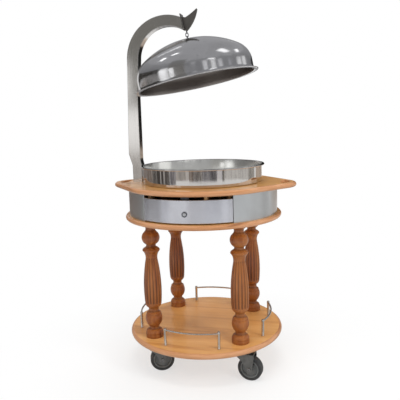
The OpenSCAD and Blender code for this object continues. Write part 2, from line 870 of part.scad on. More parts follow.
module caster_tyre(corner, turn) {
    r_in = wheel_r - tyre_t;
    soft = 0.45 * tyre_t;
    half = wheel_w / 2;
    color("#3c3d3f") at_axle(corner, turn) rotate_extrude() {
        translate([r_in, -half]) square([tyre_t - soft, wheel_w]);
        translate([r_in, -half + soft]) square([tyre_t, wheel_w - 2 * soft]);
        for (s = [-1, 1]) translate([wheel_r - soft, s * (half - soft)]) circle(soft, $fn = 48);
    }
}

module caster_hub(corner, turn) {
    r_in = wheel_r - tyre_t;
    rim_t = 4;
    half = wheel_w / 2;
    web = 4;
    boss_half = half + fork_gap - 0.5;
    hole_at = 21;
    hole_r = 3.5;
    color("#77797c") at_axle(corner, turn) difference() {
        rotate_extrude() difference() {
            union() {
                translate([0, -half + 1]) square([r_in, wheel_w - 2]);
                translate([0, -boss_half]) square([2.2 * axle_r, 2 * boss_half]);
            }
            for (s = [0, 1]) mirror([0, s]) {
                polygon([[2.2 * axle_r + 2, half], [2.2 * axle_r + 3.5, web], [r_in - rim_t - 3, web],
                    [r_in - rim_t, half]]);
            }
        }
        translate([0, 0, -boss_half - over]) {
            cylinder(r = axle_r + turn_play, h = 2 * (boss_half + over), $fn = 48);
        }
        rotate([0, 0, 50]) translate([hole_at, 0, -half]) cylinder(r = hole_r, h = wheel_w, $fn = 32);
    }
}

// ---- Pan ----

module pan() {
    r_mid = pan_r - pan_t;
    c = pan_corner_r;
    color("#d4d6d8") translate([0, 0, top_z]) rotate_extrude($fn = 180) {
        square([pan_r - c, pan_t]);
        translate([pan_r - c, c]) ring_sector(c, c - pan_t, -90, 0);
        translate([r_mid, c]) square([pan_t, pan_h - c]);
        translate([r_mid, pan_h - pan_t]) square([pan_t + pan_rim - pan_roll_r, pan_t]);
        translate([pan_r + pan_rim - pan_roll_r, pan_h - pan_roll_r]) circle(pan_roll_r, $fn = 32);
    }
}

// ---- Arm ----

module arm_bolt_places() {
    for (s = [-1, 1]) {
        translate([-(foot_in_x + foot_out_x) / 2, s * arm_bolt_gap / 2, 0]) children();
    }
}

// Outline of the arm's post seen from the drawer's side, drawn in by the wall w. Its tenon goes
// into the bend.
module arm_post(w) {
    floor_z = top_z + (w > 0 ? bolt_grip + 8 : 0);
    left = bend_out_x - bend_out_r + w;
    right = bend_in_x - bend_in_r - w;
    tenon = 10;
    polygon([[-foot_out_x + w, floor_z], [-foot_out_x + w, top_z + foot_h],
        [-arm_out_x + w, top_z + foot_h + flare_h], [left, bend_z],
        [left + tenon, bend_z], [left + tenon, bend_z + tenon],
        [right - tenon, bend_z + tenon], [right - tenon, bend_z],
        [right, bend_z], [-arm_in_x - w, top_z + arm_straight_h],
        [-arm_in_x - w, top_z + foot_h + foot_taper_h], [-foot_in_x - w, top_z + foot_h],
        [-foot_in_x - w, floor_z]]);
}

// Outline of the arm's bend, drawn in by the wall w
module arm_bend(w) {
    tip_line = function(z) tip_x - (z - tip_z) * tip_slope - w;
    high = bend_z + bend_out_r + 2 * over;
    left = bend_out_x - bend_out_r - over;
    intersection() {
        difference() {
            translate([bend_out_x, bend_z]) circle(bend_out_r - w, $fn = 180);
            translate([bend_in_x, bend_z]) circle(bend_in_r + w, $fn = 180);
        }
        polygon([[left, bend_z], [tip_line(bend_z), bend_z], [tip_line(high), high], [left, high]]);
    }
}

// Upright plates and the arm are drawn flat, x by z, and stood up with their middle on y = 0
module upright(t) {
    translate([0, t / 2, 0]) rotate([90, 0, 0]) linear_extrude(t) children();
}

module arm_tube(width, w) {
    upright(width) arm_post(w);
    upright(width) arm_bend(w);
}

module arm() {
    color("#a9a6a2") difference() {
        arm_tube(arm_w, 0);
        arm_tube(arm_w - 2 * arm_wall, arm_wall);
        arm_bolt_places() translate([0, 0, top_z - over]) {
            cylinder(r = bolt_r, h = bolt_grip + 2 + over, $fn = 48);
        }
    }
}

module arm_plate() {
    margin = 4;
    half_l = 30;
    color("#96989a") difference() {
        translate([-foot_out_x, -half_l, top_under - arm_plate_t]) {
            cube([foot_out_x - foot_in_x + margin, 2 * half_l, arm_plate_t]);
        }
        arm_bolt_places() translate([0, 0, top_under - arm_plate_t - over]) {
            cylinder(r = bolt_r + bolt_play, h = arm_plate_t + 2 * over, $fn = 48);
        }
    }
}

// End plate across the arm's tip, and the upright beak welded to it, drawn in to a neck
module arm_crest() {
    tip_line = function(z) tip_x - (z - tip_z) * tip_slope;
    low = tip_z + crest_low;
    high = tip_z + crest_high;
    foot = [hook_centre[0], neck_z];
    neck = [3.4, 0];
    color("#8d8b89") difference() {
        union() {
            upright(arm_w) polygon([[tip_line(low), low], [tip_line(high), high],
                [tip_line(high) + crest_t, high], [tip_line(low) + crest_t, low]]);
            upright(crest_t) polygon(concat(
                [[tip_line(high) + crest_t / 2, high - 8], [tip_line(low) + crest_t / 2, low],
                    foot - neck],
                arc_points(foot + neck, foot + BEAK_NOSE, 7, 10),
                [foot + BEAK_TIP],
                arc_points(foot + BEAK_BACK, foot + BEAK_ROOT, -1.5, 6)));
        }
        hook_eye();
    }
}

module hook_eye() {
    color("#7d7f81") {
        translate(hook_centre) rotate([0, 90, 0]) rotate_extrude($fn = 48) {
            translate([eye_r, 0]) circle(wire_r, $fn = 24);
        }
    }
}

// ---- Dome ----

module at_dome() {
    translate([rim_x, 0, rim_z]) rotate([0, -dome_tilt, 0]) children();
}

// Half of the dome's full section: a crown arc and a shoulder arc that touches the upright skirt
module dome_section(w) {
    crown_z0 = dome_h - crown_r;
    drop = skirt_h - crown_z0;
    shoulder_r = (crown_r * crown_r - dome_r * dome_r - drop * drop) / (2 * (crown_r - dome_r));
    shoulder_x = dome_r - shoulder_r;
    meet = atan2(drop, shoulder_x);
    reach = 2 * crown_r;
    intersection() {
        union() {
            translate([0, crown_z0]) intersection() {
                circle(crown_r - w, $fn = 360);
                polygon([[0, 0], reach * [cos(meet), sin(meet)], [0, reach]]);
            }
            translate([shoulder_x, skirt_h]) circle(shoulder_r - w, $fn = 180);
            translate([0, -over]) square([dome_r - w, skirt_h + over]);
            translate([0, -over]) square([shoulder_x, skirt_h + over + shoulder_r * 0.8]);
        }
        translate([0, w > 0 ? -over : 0]) square([reach, reach]);
    }
}

module dome_shell() {
    roll_r = dome_t / 2 + 0.6;
    color("#c9cacb") at_dome() difference() {
        rotate_extrude($fn = 180) {
            difference() {
                union() {
                    dome_section(0);
                    square([dome_flange_r - roll_r, dome_t]);
                }
                dome_section(dome_t);
            }
            translate([dome_flange_r - roll_r, roll_r]) circle(roll_r, $fn = 24);
        }
        translate([0, 0, dome_h - 10]) cylinder(r = stud_r, h = 20, $fn = 32);
    }
}

module dome_stud() {
    seat = crown_r - sqrt(crown_r * crown_r - boss_r * boss_r);
    nut_r = 7;
    nut_h = 4.5;
    color("#7d7f81") {
        at_dome() difference() {
            union() {
                translate([0, 0, dome_h - seat]) rotate_extrude($fn = 48) {
                    polygon([[0, 0], [boss_r, 0], [boss_r, 1.6], [4, boss_h * 0.7], [2.6, boss_h + seat],
                        [0, boss_h + seat]]);
                }
                translate([0, 0, dome_h - dome_t - 5]) cylinder(r = stud_r, h = 8, $fn = 32);
                translate([0, 0, dome_h - dome_t - seat - nut_h]) cylinder(r = nut_r, h = nut_h, $fn = 6);
            }
            translate([0, 0, dome_h - crown_r]) difference() {
                sphere(crown_r, $fn = 180);
                sphere(crown_r - dome_t, $fn = 180);
                cylinder(r = stud_r, h = crown_r + over, $fn = 32);
            }
        }
        translate(stud_eye) rotate([0, -dome_tilt, 0]) rotate([0, 90, 0]) rotate_extrude($fn = 48) {
            translate([eye_r, 0]) circle(wire_r, $fn = 24);
        }
    }
}

// Closed wire link that hangs in the hook's eye and carries the dome's eye
module dome_link() {
    reach = 2 * wire_r + link_play;
    span = link_l + 2 * reach;
    bend = 5.2;
    straight = span - 2 * bend;
    middle = (swing_pivot + tilt_pivot) / 2;
    color("#6f7173") translate(middle) rotate([0, -link_lean, 0]) rotate([90, 0, 0]) {
        for (s = [0, 1]) mirror([0, s, 0]) translate([0, straight / 2, 0]) {
            rotate_extrude(angle = 180, $fn = 48) translate([bend, 0]) circle(wire_r, $fn = 24);
        }
        for (s = [-1, 1]) translate([s * bend, straight / 2, 0]) rotate([90, 0, 0]) {
            cylinder(r = wire_r, h = straight, $fn = 24);
        }
    }
}

shelf();
cabinet_floor();
top_board();
apron_band();
cheek(-1);  // left_cheek
cheek(1);  // right_cheek
leg(FRONT_LEFT);  // leg_front_left
leg(FRONT_RIGHT);  // leg_front_right
leg(BACK_LEFT);  // leg_back_left
leg(BACK_RIGHT);  // leg_back_right
rail_posts(RAILS[0]);  // front_rail_posts
rail_rod(RAILS[0]);  // front_rail_rod
rail_posts(RAILS[1]);  // right_rail_posts
rail_rod(RAILS[1]);  // right_rail_rod
rail_posts(RAILS[2]);  // back_rail_posts
rail_rod(RAILS[2]);  // back_rail_rod
rail_posts(RAILS[3]);  // left_rail_posts
rail_rod(RAILS[3]);  // left_rail_rod
arm();
arm_plate();
arm_crest();
hook_eye();
frame_bolts();
rail_screws();
caster_screws();
slide_outer(-1);  // left_slide_outer
slide_outer(1);  // right_slide_outer
drawer_catch();
drawer_stop();
caster_plate(FRONT_LEFT);  // front_left_plate
caster_fork(FRONT_LEFT, front_left_turn);  // front_left_fork
caster_axle(FRONT_LEFT, front_left_turn);  // front_left_axle
caster_hub(FRONT_LEFT, front_left_turn);  // front_left_hub
caster_tyre(FRONT_LEFT, front_left_turn);  // front_left_tyre
caster_plate(FRONT_RIGHT);  // front_right_plate
caster_fork(FRONT_RIGHT, front_right_turn);  // front_right_fork
caster_axle(FRONT_RIGHT, front_right_turn);  // front_right_axle
caster_hub(FRONT_RIGHT, front_right_turn);  // front_right_hub
caster_tyre(FRONT_RIGHT, front_right_turn);  // front_right_tyre
caster_plate(BACK_LEFT);  // back_left_plate
caster_fork(BACK_LEFT, back_left_turn);  // back_left_fork
caster_axle(BACK_LEFT, back_left_turn);  // back_left_axle
caster_hub(BACK_LEFT, back_left_turn);  // back_left_hub
caster_tyre(BACK_LEFT, back_left_turn);  // back_left_tyre
caster_plate(BACK_RIGHT);  // back_right_plate
caster_fork(BACK_RIGHT, back_right_turn);  // back_right_fork
caster_axle(BACK_RIGHT, back_right_turn);  // back_right_axle
caster_hub(BACK_RIGHT, back_right_turn);  // back_right_hub
caster_tyre(BACK_RIGHT, back_right_turn);  // back_right_tyre
drawer_front();
drawer_box();
slide_inner(-1);  // left_slide_inner
slide_inner(1);  // right_slide_inner
lock_barrel();
lock_plug();
lock_cam();
pan();
dome_link();
dome_shell();
dome_stud();
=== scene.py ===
"""Looks of the carving trolley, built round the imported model.

Lengths are written in millimetres and turned into metres where a mesh is made. The frame is the
part's own: origin on the floor under the trolley's axis, +Z up, -Y the drawer's side.
"""
from math import acos, atan, atan2, cos, degrees, hypot, pi, radians, sin, sqrt, tan

import bmesh
import bpy
from mathutils import Matrix, Vector


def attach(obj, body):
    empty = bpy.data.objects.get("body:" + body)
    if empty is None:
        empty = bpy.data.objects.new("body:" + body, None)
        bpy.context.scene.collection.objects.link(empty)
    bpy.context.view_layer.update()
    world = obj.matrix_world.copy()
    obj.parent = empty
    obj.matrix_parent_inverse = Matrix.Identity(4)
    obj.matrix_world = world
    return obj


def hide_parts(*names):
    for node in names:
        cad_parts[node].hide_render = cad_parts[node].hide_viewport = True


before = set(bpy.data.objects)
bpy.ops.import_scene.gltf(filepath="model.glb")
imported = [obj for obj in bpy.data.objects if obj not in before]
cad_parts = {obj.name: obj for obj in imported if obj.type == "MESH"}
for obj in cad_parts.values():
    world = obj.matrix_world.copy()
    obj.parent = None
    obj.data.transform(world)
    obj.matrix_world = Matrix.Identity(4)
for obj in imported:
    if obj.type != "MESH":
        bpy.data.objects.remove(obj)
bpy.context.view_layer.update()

MM = 0.001
CORNERS = {"front_left": 225, "front_right": 315, "back_left": 135, "back_right": 45}

# Heights of the stack and the main radii, as in the part
SHELF_Z, SHELF_TOP = 128, 150
LEG_TOP, CABINET_Z = 632, 652
TOP_UNDER, TOP_Z = 757, 778
BOARD_R, TOP_R = 330, 325
WING_X, WING_R, GRIP_W, SLOT_X, SLOT_R = 305, 87, 26, 331, 8
LEG_AT, CASTER_AT = 256, 264
RAIL_AT, RAIL_HALF_ANGLE = 284, 22.5
APRON_R, SHEET_T, LOCK_Z = 312.7, 2, 692
OPENING = 34  # Half the angle that the apron leaves open for the drawer

# Turns a piece drawn on the ground so that its Y points up and its Z at the drawer's side
UPRIGHT = Matrix.Rotation(radians(90), 4, "X")


# ---- Shapes ----

def new_object(name, data):
    obj = bpy.data.objects.new(name, data)
    bpy.context.scene.collection.objects.link(obj)
    return obj


class Shape:
    """Vertices and faces of a piece under way, in millimetres, with a material slot per face."""

    def __init__(self):
        self.verts, self.faces, self.slots, self.smooth, self.marks = [], [], [], [], []

    def add(self, part, slot=0, flat=False, marks=None):
        """Adds (vertices, faces). marks holds one vector a vertex, for the materials to read."""
        verts, faces = part
        base = len(self.verts)
        self.verts += [tuple(v) for v in verts]
        self.faces += [tuple(base + i for i in f) for f in faces]
        self.slots += [slot] * len(faces)
        self.smooth += [not flat] * len(faces)
        self.marks += list(marks) if marks else [(0, 0, 0)] * len(verts)
        return self

    def build(self, name, looks, body, slot, node, place=Matrix.Identity(4), weld=True,
              mark=None, sharp=0):
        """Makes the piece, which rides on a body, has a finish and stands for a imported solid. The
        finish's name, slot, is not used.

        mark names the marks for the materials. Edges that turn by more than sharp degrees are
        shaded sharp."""
        mesh = bpy.data.meshes.new(name)
        place = Matrix.Scale(MM, 4) @ place
        mesh.from_pydata([place @ Vector(v) for v in self.verts], [], self.faces)
        for look in looks:
            mesh.materials.append(look)
        mesh.polygons.foreach_set("material_index", self.slots)
        mesh.polygons.foreach_set("use_smooth", self.smooth)
        if mark:
            data = mesh.attributes.new(mark, "FLOAT_VECTOR", "POINT").data
            data.foreach_set("vector", [c for m in self.marks for c in m])
        b = bmesh.new()
        b.from_mesh(mesh)
        if weld:
            bmesh.ops.remove_doubles(b, verts=b.verts, dist=1e-6)
        bmesh.ops.recalc_face_normals(b, faces=b.faces)
        b.to_mesh(mesh)
        b.free()
        if sharp:
            mesh.set_sharp_from_angle(angle=radians(sharp))
        obj = new_object(name, mesh)
        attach(obj, body)
        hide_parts(node)
        return obj


def arc(centre, radius, start, end, count):
    """Points on a circle from one angle to another, both ends included."""
    turns = [radians(start + (end - start) * k / count) for k in range(count + 1)]
    return [(centre[0] + radius * cos(a), centre[1] + radius * sin(a)) for a in turns]


def circle(radius, count=192, centre=(0, 0)):
    return arc(centre, radius, 0, 360, count)[:-1]


def polar(radius, angle):
    return radius * cos(radians(angle)), radius * sin(radians(angle))


def revolve(profile, steps=128):
    """Turns points of radius and height round the Z axis. A point on the axis is one vertex."""
    verts, rows = [], []
    for r, z in profile:
        if r < 1e-6:
            rows.append([len(verts)] * steps)
            verts.append((0, 0, z))
        else:
            rows.append(list(range(len(verts), len(verts) + steps)))
            verts += [(x, y, z) for x, y in circle(r, steps)]
    faces = []
    for low, high in zip(rows, rows[1:]):
        for k in range(steps):
            n = (k + 1) % steps
            face = tuple(dict.fromkeys((low[k], low[n], high[n], high[k])))
            if len(face) > 2:
                faces.append(face)
    return verts, faces


def loft(rings, caps=True, loop=False):
    """Skins rings of equally many points. loop joins the last ring to the first."""
    n, count = len(rings[0]), len(rings)
    verts = [p for ring in rings for p in ring]
    faces = []
    for i in range(count if loop else count - 1):
        a, b = i * n, (i + 1) % count * n
        faces += [(a + k, a + (k + 1) % n, b + (k + 1) % n, b + k) for k in range(n)]
    if caps and not loop:
        faces += [tuple(range(n)), tuple(range((count - 1) * n, count * n))]
    return verts, faces


def tube(points, radius, sides, loop=False):
    """Round tube along points, its rings turned as little as possible from one to the next."""
    points = [Vector(p) for p in points]
    count = len(points)
    turns = [2 * pi * k / sides for k in range(sides)]
    rings, normal = [], None
    for i, p in enumerate(points):
        before = points[i - 1] if (i or loop) else p
        after = points[(i + 1) % count] if (i < count - 1 or loop) else p
        along = (after - before).normalized()
        if normal is None:
            side = Vector((0, 0, 1)) if abs(along.z) < 0.9 else Vector((1, 0, 0))
            normal = along.cross(side).normalized()
        normal = (normal - along * normal.dot(along)).normalized()
        other = along.cross(normal)
        rings.append([p + radius * (cos(a) * normal + sin(a) * other) for a in turns])
    return loft(rings, loop=loop)


def prism(outline, *heights, caps=True):
    """Outline of x and y drawn through some heights."""
    return loft([[(x, y, z) for x, y in outline] for z in heights], caps)


def plane(outline, z):
    """Outline of x and y as one face."""
    return [(x, y, z) for x, y in outline], [tuple(range(len(outline)))]


def moved(part, matrix):
    return [tuple(matrix @ Vector(v)) for v in part[0]], part[1]


def bulged(a, b, bulge, count):
    """Points from a to b along an arc that bulges to the right of the way."""
    a, b = Vector(a), Vector(b)
    if not bulge:
        return [tuple(a), tuple(b)]
    along = b - a
    length = along.length
    u = along / length
    w = Vector((u.y, -u.x))
    r = (length * length / 4 + bulge * bulge) / (2 * bulge)
    sweep = 4 * atan(2 * bulge / length)
    centre = (a + b) / 2 - w * (r - bulge)
    return [tuple(centre + r * (w * cos(t) + u * sin(t)))
            for t in (sweep * (k / count - 0.5) for k in range(count + 1))]


def soften(points, radius, closed=False, count=3, least=20):
    """Rounds the corners of an outline that turn by more than least degrees."""
    n = len(points)
    out = []
    for i in range(n):
        p = Vector(points[i])
        if not closed and i in (0, n - 1):
            out.append(tuple(p))
            continue
        a, b = Vector(points[i - 1]) - p, Vector(points[(i + 1) % n]) - p
        if a.length < 1e-9 or b.length < 1e-9:
            continue
        inner = a.angle(b)
        if pi - inner < radians(least):
            out.append(tuple(p))
            continue
        reach = min(radius / tan(inner / 2), a.length * 0.45, b.length * 0.45)
        r = reach * tan(inner / 2)
        centre = p + (a.normalized() + b.normalized()).normalized() * r / sin(inner / 2)
        first, last = p + a.normalized() * reach - centre, p + b.normalized() * reach - centre
        for k in range(count + 1):
            mixed = first.lerp(last, k / count)
            out.append(tuple(centre + mixed.normalized() * r))
    return out


def sheet_fill(outline, holes, z):
    """Flat face with holes, as triangles."""
    b = bmesh.new()
    edges = []
    for loop in [outline] + holes:
        vs = [b.verts.new((x, y, z)) for x, y in loop]
        edges += [b.edges.new((vs[i], vs[(i + 1) % len(vs)])) for i in range(len(vs))]
    bmesh.ops.triangle_fill(b, use_beauty=True, use_dissolve=False, edges=edges)
    b.verts.index_update()
    verts = [tuple(v.co) for v in b.verts]
    faces = [tuple(v.index for v in f.verts) for f in b.faces]
    b.free()
    return verts, faces


def offset(outline, by):
    """Draws out an outline that runs anticlockwise, along its normals."""
    out = []
    for i, (x, y) in enumerate(outline):
        d = Vector(outline[(i + 1) % len(outline)]) - Vector(outline[i - 1])
        d.normalize()
        out.append((x + d.y * by, y - d.x * by))
    return out


def stepped(outline, levels):
    """Rings of an outline, each at its own height and drawn out by its own distance."""
    return [[(x, y, z) for x, y in offset(outline, by)] for z, by in levels]


def bevelled(obj, width, segments):
    """Rounds the edges that turn by more than 30 degrees, by a width in millimetres."""
    m = obj.modifiers.new("edges", "BEVEL")
    m.width = width * MM
    m.segments = segments
    m.limit_method = "ANGLE"
    m.angle_limit = radians(30)
    even(obj)


def even(obj):
    """Lets the large flat faces lead the shading of their rounded edges."""
    m = obj.modifiers.new("shading", "WEIGHTED_NORMAL")
    m.keep_sharp = True
    m.weight = 60


# ---- Materials ----

def rgb(code):
    """Colour written as six hex digits, as linear values."""
    channels = [int(code[i:i + 2], 16) / 255 for i in (0, 2, 4)]
    return tuple(c / 12.92 if c <= 0.04045 else ((c + 0.055) / 1.055) ** 2.4
                 for c in channels) + (1,)


class Nodes:
    """A node tree under way."""

    def __init__(self, tree):
        self.tree = tree

    def node(self, kind, inputs=None, **settings):
        n = self.tree.nodes.new("ShaderNode" + kind)
        for key, value in settings.items():
            setattr(n, key, value)
        for key, value in (inputs or {}).items():
            self.put(n.inputs[key], value)
        return n

    def put(self, socket, value):
        """Gives a socket another node's output or a constant, which may be six hex digits."""
        if isinstance(value, bpy.types.NodeSocket):
            self.tree.links.new(value, socket)
        else:
            socket.default_value = rgb(value) if isinstance(value, str) else value

    def math(self, how, a, b=0.0):
        return self.node("Math", {0: a, 1: b}, operation=how).outputs[0]

    def plus(self, a, b, share):
        return self.math("ADD", a, self.math("MULTIPLY", b, share))

    def seen(self):
        """One where the camera looks straight, in a mirror or through glass, else zero."""
        rays = self.node("LightPath").outputs
        either = self.math("MAXIMUM", rays["Is Camera Ray"], rays["Is Glossy Ray"])
        return self.math("MAXIMUM", either, rays["Is Transmission Ray"])


class Look(Nodes):
    """A node material under way, round one Principled shader."""

    def __init__(self, name, **values):
        self.material = bpy.data.materials.new(name)
        self.material.use_nodes = True
        super().__init__(self.material.node_tree)
        self.shader = self.tree.nodes["Principled BSDF"]
        for socket, value in values.items():
            label = socket.replace("_", " ").title().replace("Ior", "IOR")
            self.shader.inputs[label].default_value = value

    def drive(self, socket, value):
        self.put(self.shader.inputs[socket], value)

    def finish(self, colour, rough, normal):
        self.drive("Base Color", colour)
        self.drive("Roughness", rough)
        self.drive("Normal", normal)
        return self.material

    def show(self, surface):
        self.put(self.tree.nodes["Material Output"].inputs["Surface"], surface)

    def place(self, stretch=(1, 1, 1), mark=None, shift=(0, 0, 0)):
        """The piece's own coordinates, or a vector stored on its mesh, stretched."""
        if mark:
            source = self.node("Attribute", attribute_name=mark).outputs["Vector"]
        else:
            source = self.node("TexCoord").outputs["Object"]
        inputs = {"Vector": source, "Scale": stretch, "Location": shift}
        return self.node("Mapping", inputs).outputs["Vector"]

    def noise(self, scale, detail=3, rough=0.5, twist=0.0, **place):
        inputs = {"Vector": self.place(**place), "Scale": scale, "Detail": detail,
                  "Roughness": rough, "Distortion": twist}
        return self.node("TexNoise", inputs).outputs["Fac"]

    def ramp(self, factor, *stops):
        n = self.node("ValToRGB", {"Fac": factor})
        n.color_ramp.interpolation = "EASE"
        marks = n.color_ramp.elements
        while len(marks) < len(stops):
            marks.new(0.5)
        for mark, (at, colour) in zip(marks, stops):
            mark.position = at
            mark.color = rgb(colour)
        return n.outputs["Color"]

    def mix(self, factor, a, b, how="MIX"):
        inputs = {0: factor, 6: a, 7: b}
        return self.node("Mix", inputs, data_type="RGBA", blend_type=how).outputs[2]

    def span(self, value, low, high, to_low, to_high):
        inputs = {"Value": value, "From Min": low, "From Max": high, "To Min": to_low,
                  "To Max": to_high}
        return self.node("MapRange", inputs).outputs["Result"]

    def stain(self, colour, tone, where, low, high, share, how="MIX"):
        """Mixes in up to a share of a tone as where goes from low to high."""
        return self.mix(self.span(where, low, high, 0.0, share), colour, tone, how)

    def bump(self, height, strength, distance, **under):
        inputs = {"Height": height, "Strength": strength, "Distance": distance * MM, **under}
        return self.node("Bump", inputs).outputs["Normal"]


def wood(name, pale, middle, dark, along, coat, hollow_shade=None, glaze=0.12, contrast=1.0, shine=0.5):
    """Lacquered wood. along is the axis that the grain follows, or "round" for an edge band."""
    look = Look(name, coat_weight=coat, coat_roughness=glaze, ior=1.5, specular_ior_level=shine)
    wide, fine = {
        "x": ((0.55, 5.0, 5.0), (2.2, 60, 60)),
        "y": ((5.0, 0.55, 5.0), (60, 2.2, 60)),
        "z": ((7.0, 7.0, 0.8), (70, 70, 2.4)),
        "round": ((1.2, 1.2, 16), (3.0, 3.0, 110)),
    }[along]
    figure = look.noise(3.2, 5, 0.55, 0.9, stretch=wide)
    fibre = look.noise(5.0, 6, 0.62, 0.25, stretch=fine)
    pores = look.noise(4.0, 2, stretch=[c * 3.2 for c in fine], shift=(3.1, 1.7, 0.4))
    colour = look.ramp(figure, (0.3, dark), (0.47, middle), (0.62, pale), (0.8, middle))
    colour = look.stain(colour, dark, fibre, 0.32, 0.72, 0.42 * contrast, "MULTIPLY")
    colour = look.stain(colour, dark, pores, 0.6, 0.72, 0.35 * contrast)
    patch = look.noise(2.6, 2, shift=(5, 2, 7))
    colour = look.stain(colour, pale, patch, 0.3, 0.7, 0.3)
    # Painted shade: the hollow tone darkens the grooves and flutes. The pale tone lightens the
    # raised beads, partly wear and partly painted highlight.
    if hollow_shade:
        mark = look.node("Attribute", attribute_name="turning").outputs["Vector"]
        parts = look.node("SeparateXYZ", {"Vector": mark})
        colour = look.stain(colour, hollow_shade, parts.outputs["X"], 0.1, 1.0, 0.72)
        colour = look.stain(colour, pale, parts.outputs["Y"], 0.2, 1.0, 0.3)
    normal = look.bump(look.plus(fibre, pores, 0.8), 0.22, 0.25)
    return look.finish(colour, look.span(patch, 0.3, 0.7, 0.36, 0.5), normal)


def brushed(name, tint, along, rough, bump, mark=None, anisotropic=0.75, clouds=0.1):
    """Brushed stainless steel. along is the stretch of its lines, radial ones run round Z."""
    look = Look(name, metallic=1.0, anisotropic=anisotropic, anisotropic_rotation=0.25)
    lines = look.noise(1.0, 4, 0.65, stretch=along, mark=mark)
    broad = look.noise(1.0, 3, 0.6, stretch=[c * 0.22 for c in along], mark=mark, shift=(2, 5, 1))
    haze = look.noise(7.0, 4, 0.55, 0.4, mark=mark, shift=(4, 1, 8))
    colour = look.stain(tint, "6E6A66", haze, 0.35, 0.75, clouds * 2)
    colour = look.stain(colour, "FFFFFF", lines, 0.35, 0.7, 0.04)
    both = look.plus(look.math("MULTIPLY", lines, 0.7), broad, 0.15)
    sheet = look.plus(both, haze, 0.3)
    round_z = look.node("Tangent", direction_type="RADIAL", axis="Z")
    look.drive("Tangent", round_z.outputs["Tangent"])
    return look.finish(colour, look.span(both, 0.25, 0.6, *rough), look.bump(sheet, bump, 0.12))


def polished(name, tint, rough, ripple=0.1, spun=40.0, metallic=1.0):
    """Polished steel with finger haze, faint spinning lines and a slightly uneven sheet."""
    look = Look(name, metallic=metallic)
    dirt = "8A867F"
    haze = look.noise(9.0, 5, 0.6, 0.8)
    spots = look.noise(60.0, 3, 0.6, shift=(3, 3, 1))
    rings = look.noise(1.0, 3, 0.6, stretch=(2.5, 2.5, spun * 9))
    waves = look.noise(5.5, 2, 0.45, shift=(7, 1, 2))
    colour = look.stain(tint, dirt, haze, 0.45, 0.8, 0.2)
    colour = look.stain(colour, dirt, spots, 0.62, 0.75, 0.25)
    smear = look.plus(look.math("MULTIPLY", haze, 0.75), rings, 0.35)
    normal = look.bump(rings, 0.035, 0.05, Normal=look.bump(waves, ripple, 4.0))
    return look.finish(colour, look.span(smear, 0.4, 0.85, *rough), normal)


def worn_metal(name, tint, dirt, rough, grain, bump=0.22):
    """Cast, plated or handled metal with blotches and small scratches."""
    look = Look(name, metallic=1.0)
    blotch = look.noise(grain, 5, 0.6, 0.5)
    fine = look.noise(grain * 11, 3, 0.6, shift=(1, 4, 2))
    scratch = look.noise(5.0, 2, stretch=(9, 90, 14), shift=(2, 2, 5))
    colour = look.stain(tint, dirt, blotch, 0.38, 0.72, 0.6)
    colour = look.stain(colour, "E8E8E6", scratch, 0.66, 0.74, 0.4)
    normal = look.bump(look.math("ADD", fine, blotch), bump, 0.08)
    return look.finish(colour, look.span(blotch, 0.3, 0.75, *rough), normal)


def moulded(name, tint, dust, rough, grain=420.0, bump=0.18):
    """Moulded plastic or rubber, dusty in places."""
    look = Look(name, ior=1.48)
    pebble = look.noise(grain, 2)
    film = look.noise(30.0, 5, 0.62, 0.4, shift=(2, 6, 1))
    scuff = look.noise(2.0, 3, 0.6, stretch=(40, 40, 240), shift=(4, 4, 4))
    colour = look.stain(tint, dust, film, 0.42, 0.75, 0.55)
    colour = look.stain(colour, dust, scuff, 0.64, 0.74, 0.3)
    return look.finish(colour, look.span(film, 0.3, 0.75, *rough), look.bump(pebble, bump, 0.1))


FACE_WOOD = wood("face_wood", "E6B06C", "DEA35C", "C28444", "x", coat=0.65, contrast=0.6)
EDGE_WOOD = wood("edge_wood", "CF986C", "C08656", "9C643A", "round", coat=0.6, glaze=0.1,
                 contrast=0.5)
SAWN_WOOD = wood("sawn_wood", "D9B386", "C59A66", "94683C", "z", coat=0.0)
# The legs carry painted shade in their flutes and grooves, and lighter beads that are partly wear
# and partly painted highlight.
TURNED_WOOD = wood("turned_wood", "A9672F", "8E4C1C", "5E2A0C", "z", coat=0.4, glaze=0.16,
                   hollow_shade="2E1103", shine=0.3)
DRAWER_WOOD = wood("drawer_wood", "E0C194", "D0AA76", "A98151", "y", coat=0.15)
BAND_STEEL = brushed("band_steel", "C6CACD", (4, 4, 1300), (0.28, 0.34), 0.02)
FRONT_STEEL = brushed("front_steel", "D0D2DA", (4, 4, 1300), (0.245, 0.27), 0.006)
ARM_STEEL = brushed("arm_steel", "D6D4D1", (3, 340, 340), (0.1, 0.16), 0.02, mark="run",
                    anisotropic=0.0, clouds=0.05)
DOME_STEEL = polished("dome_steel", "CACACC", (0.11, 0.2))
INSIDE_STEEL = polished("inside_steel", "8E8884", (0.34, 0.46), ripple=0.04, spun=90)
PAN_STEEL = polished("pan_steel", "C6C3C0", (0.05, 0.11), ripple=0.08)
WELL_STEEL = polished("well_steel", "EAEAE6", (0.14, 0.26), ripple=0.06, spun=90, metallic=0.72)
RAIL_STEEL = worn_metal("satin_steel", "D6D2CC", "A8A49E", (0.18, 0.3), 14, bump=0.03)
CREST_STEEL = worn_metal("crest_steel", "93908C", "67635F", (0.25, 0.42), 20, bump=0.12)
HOOK_STEEL = worn_metal("hook_steel", "84848A", "4E4D4F", (0.22, 0.4), 60)
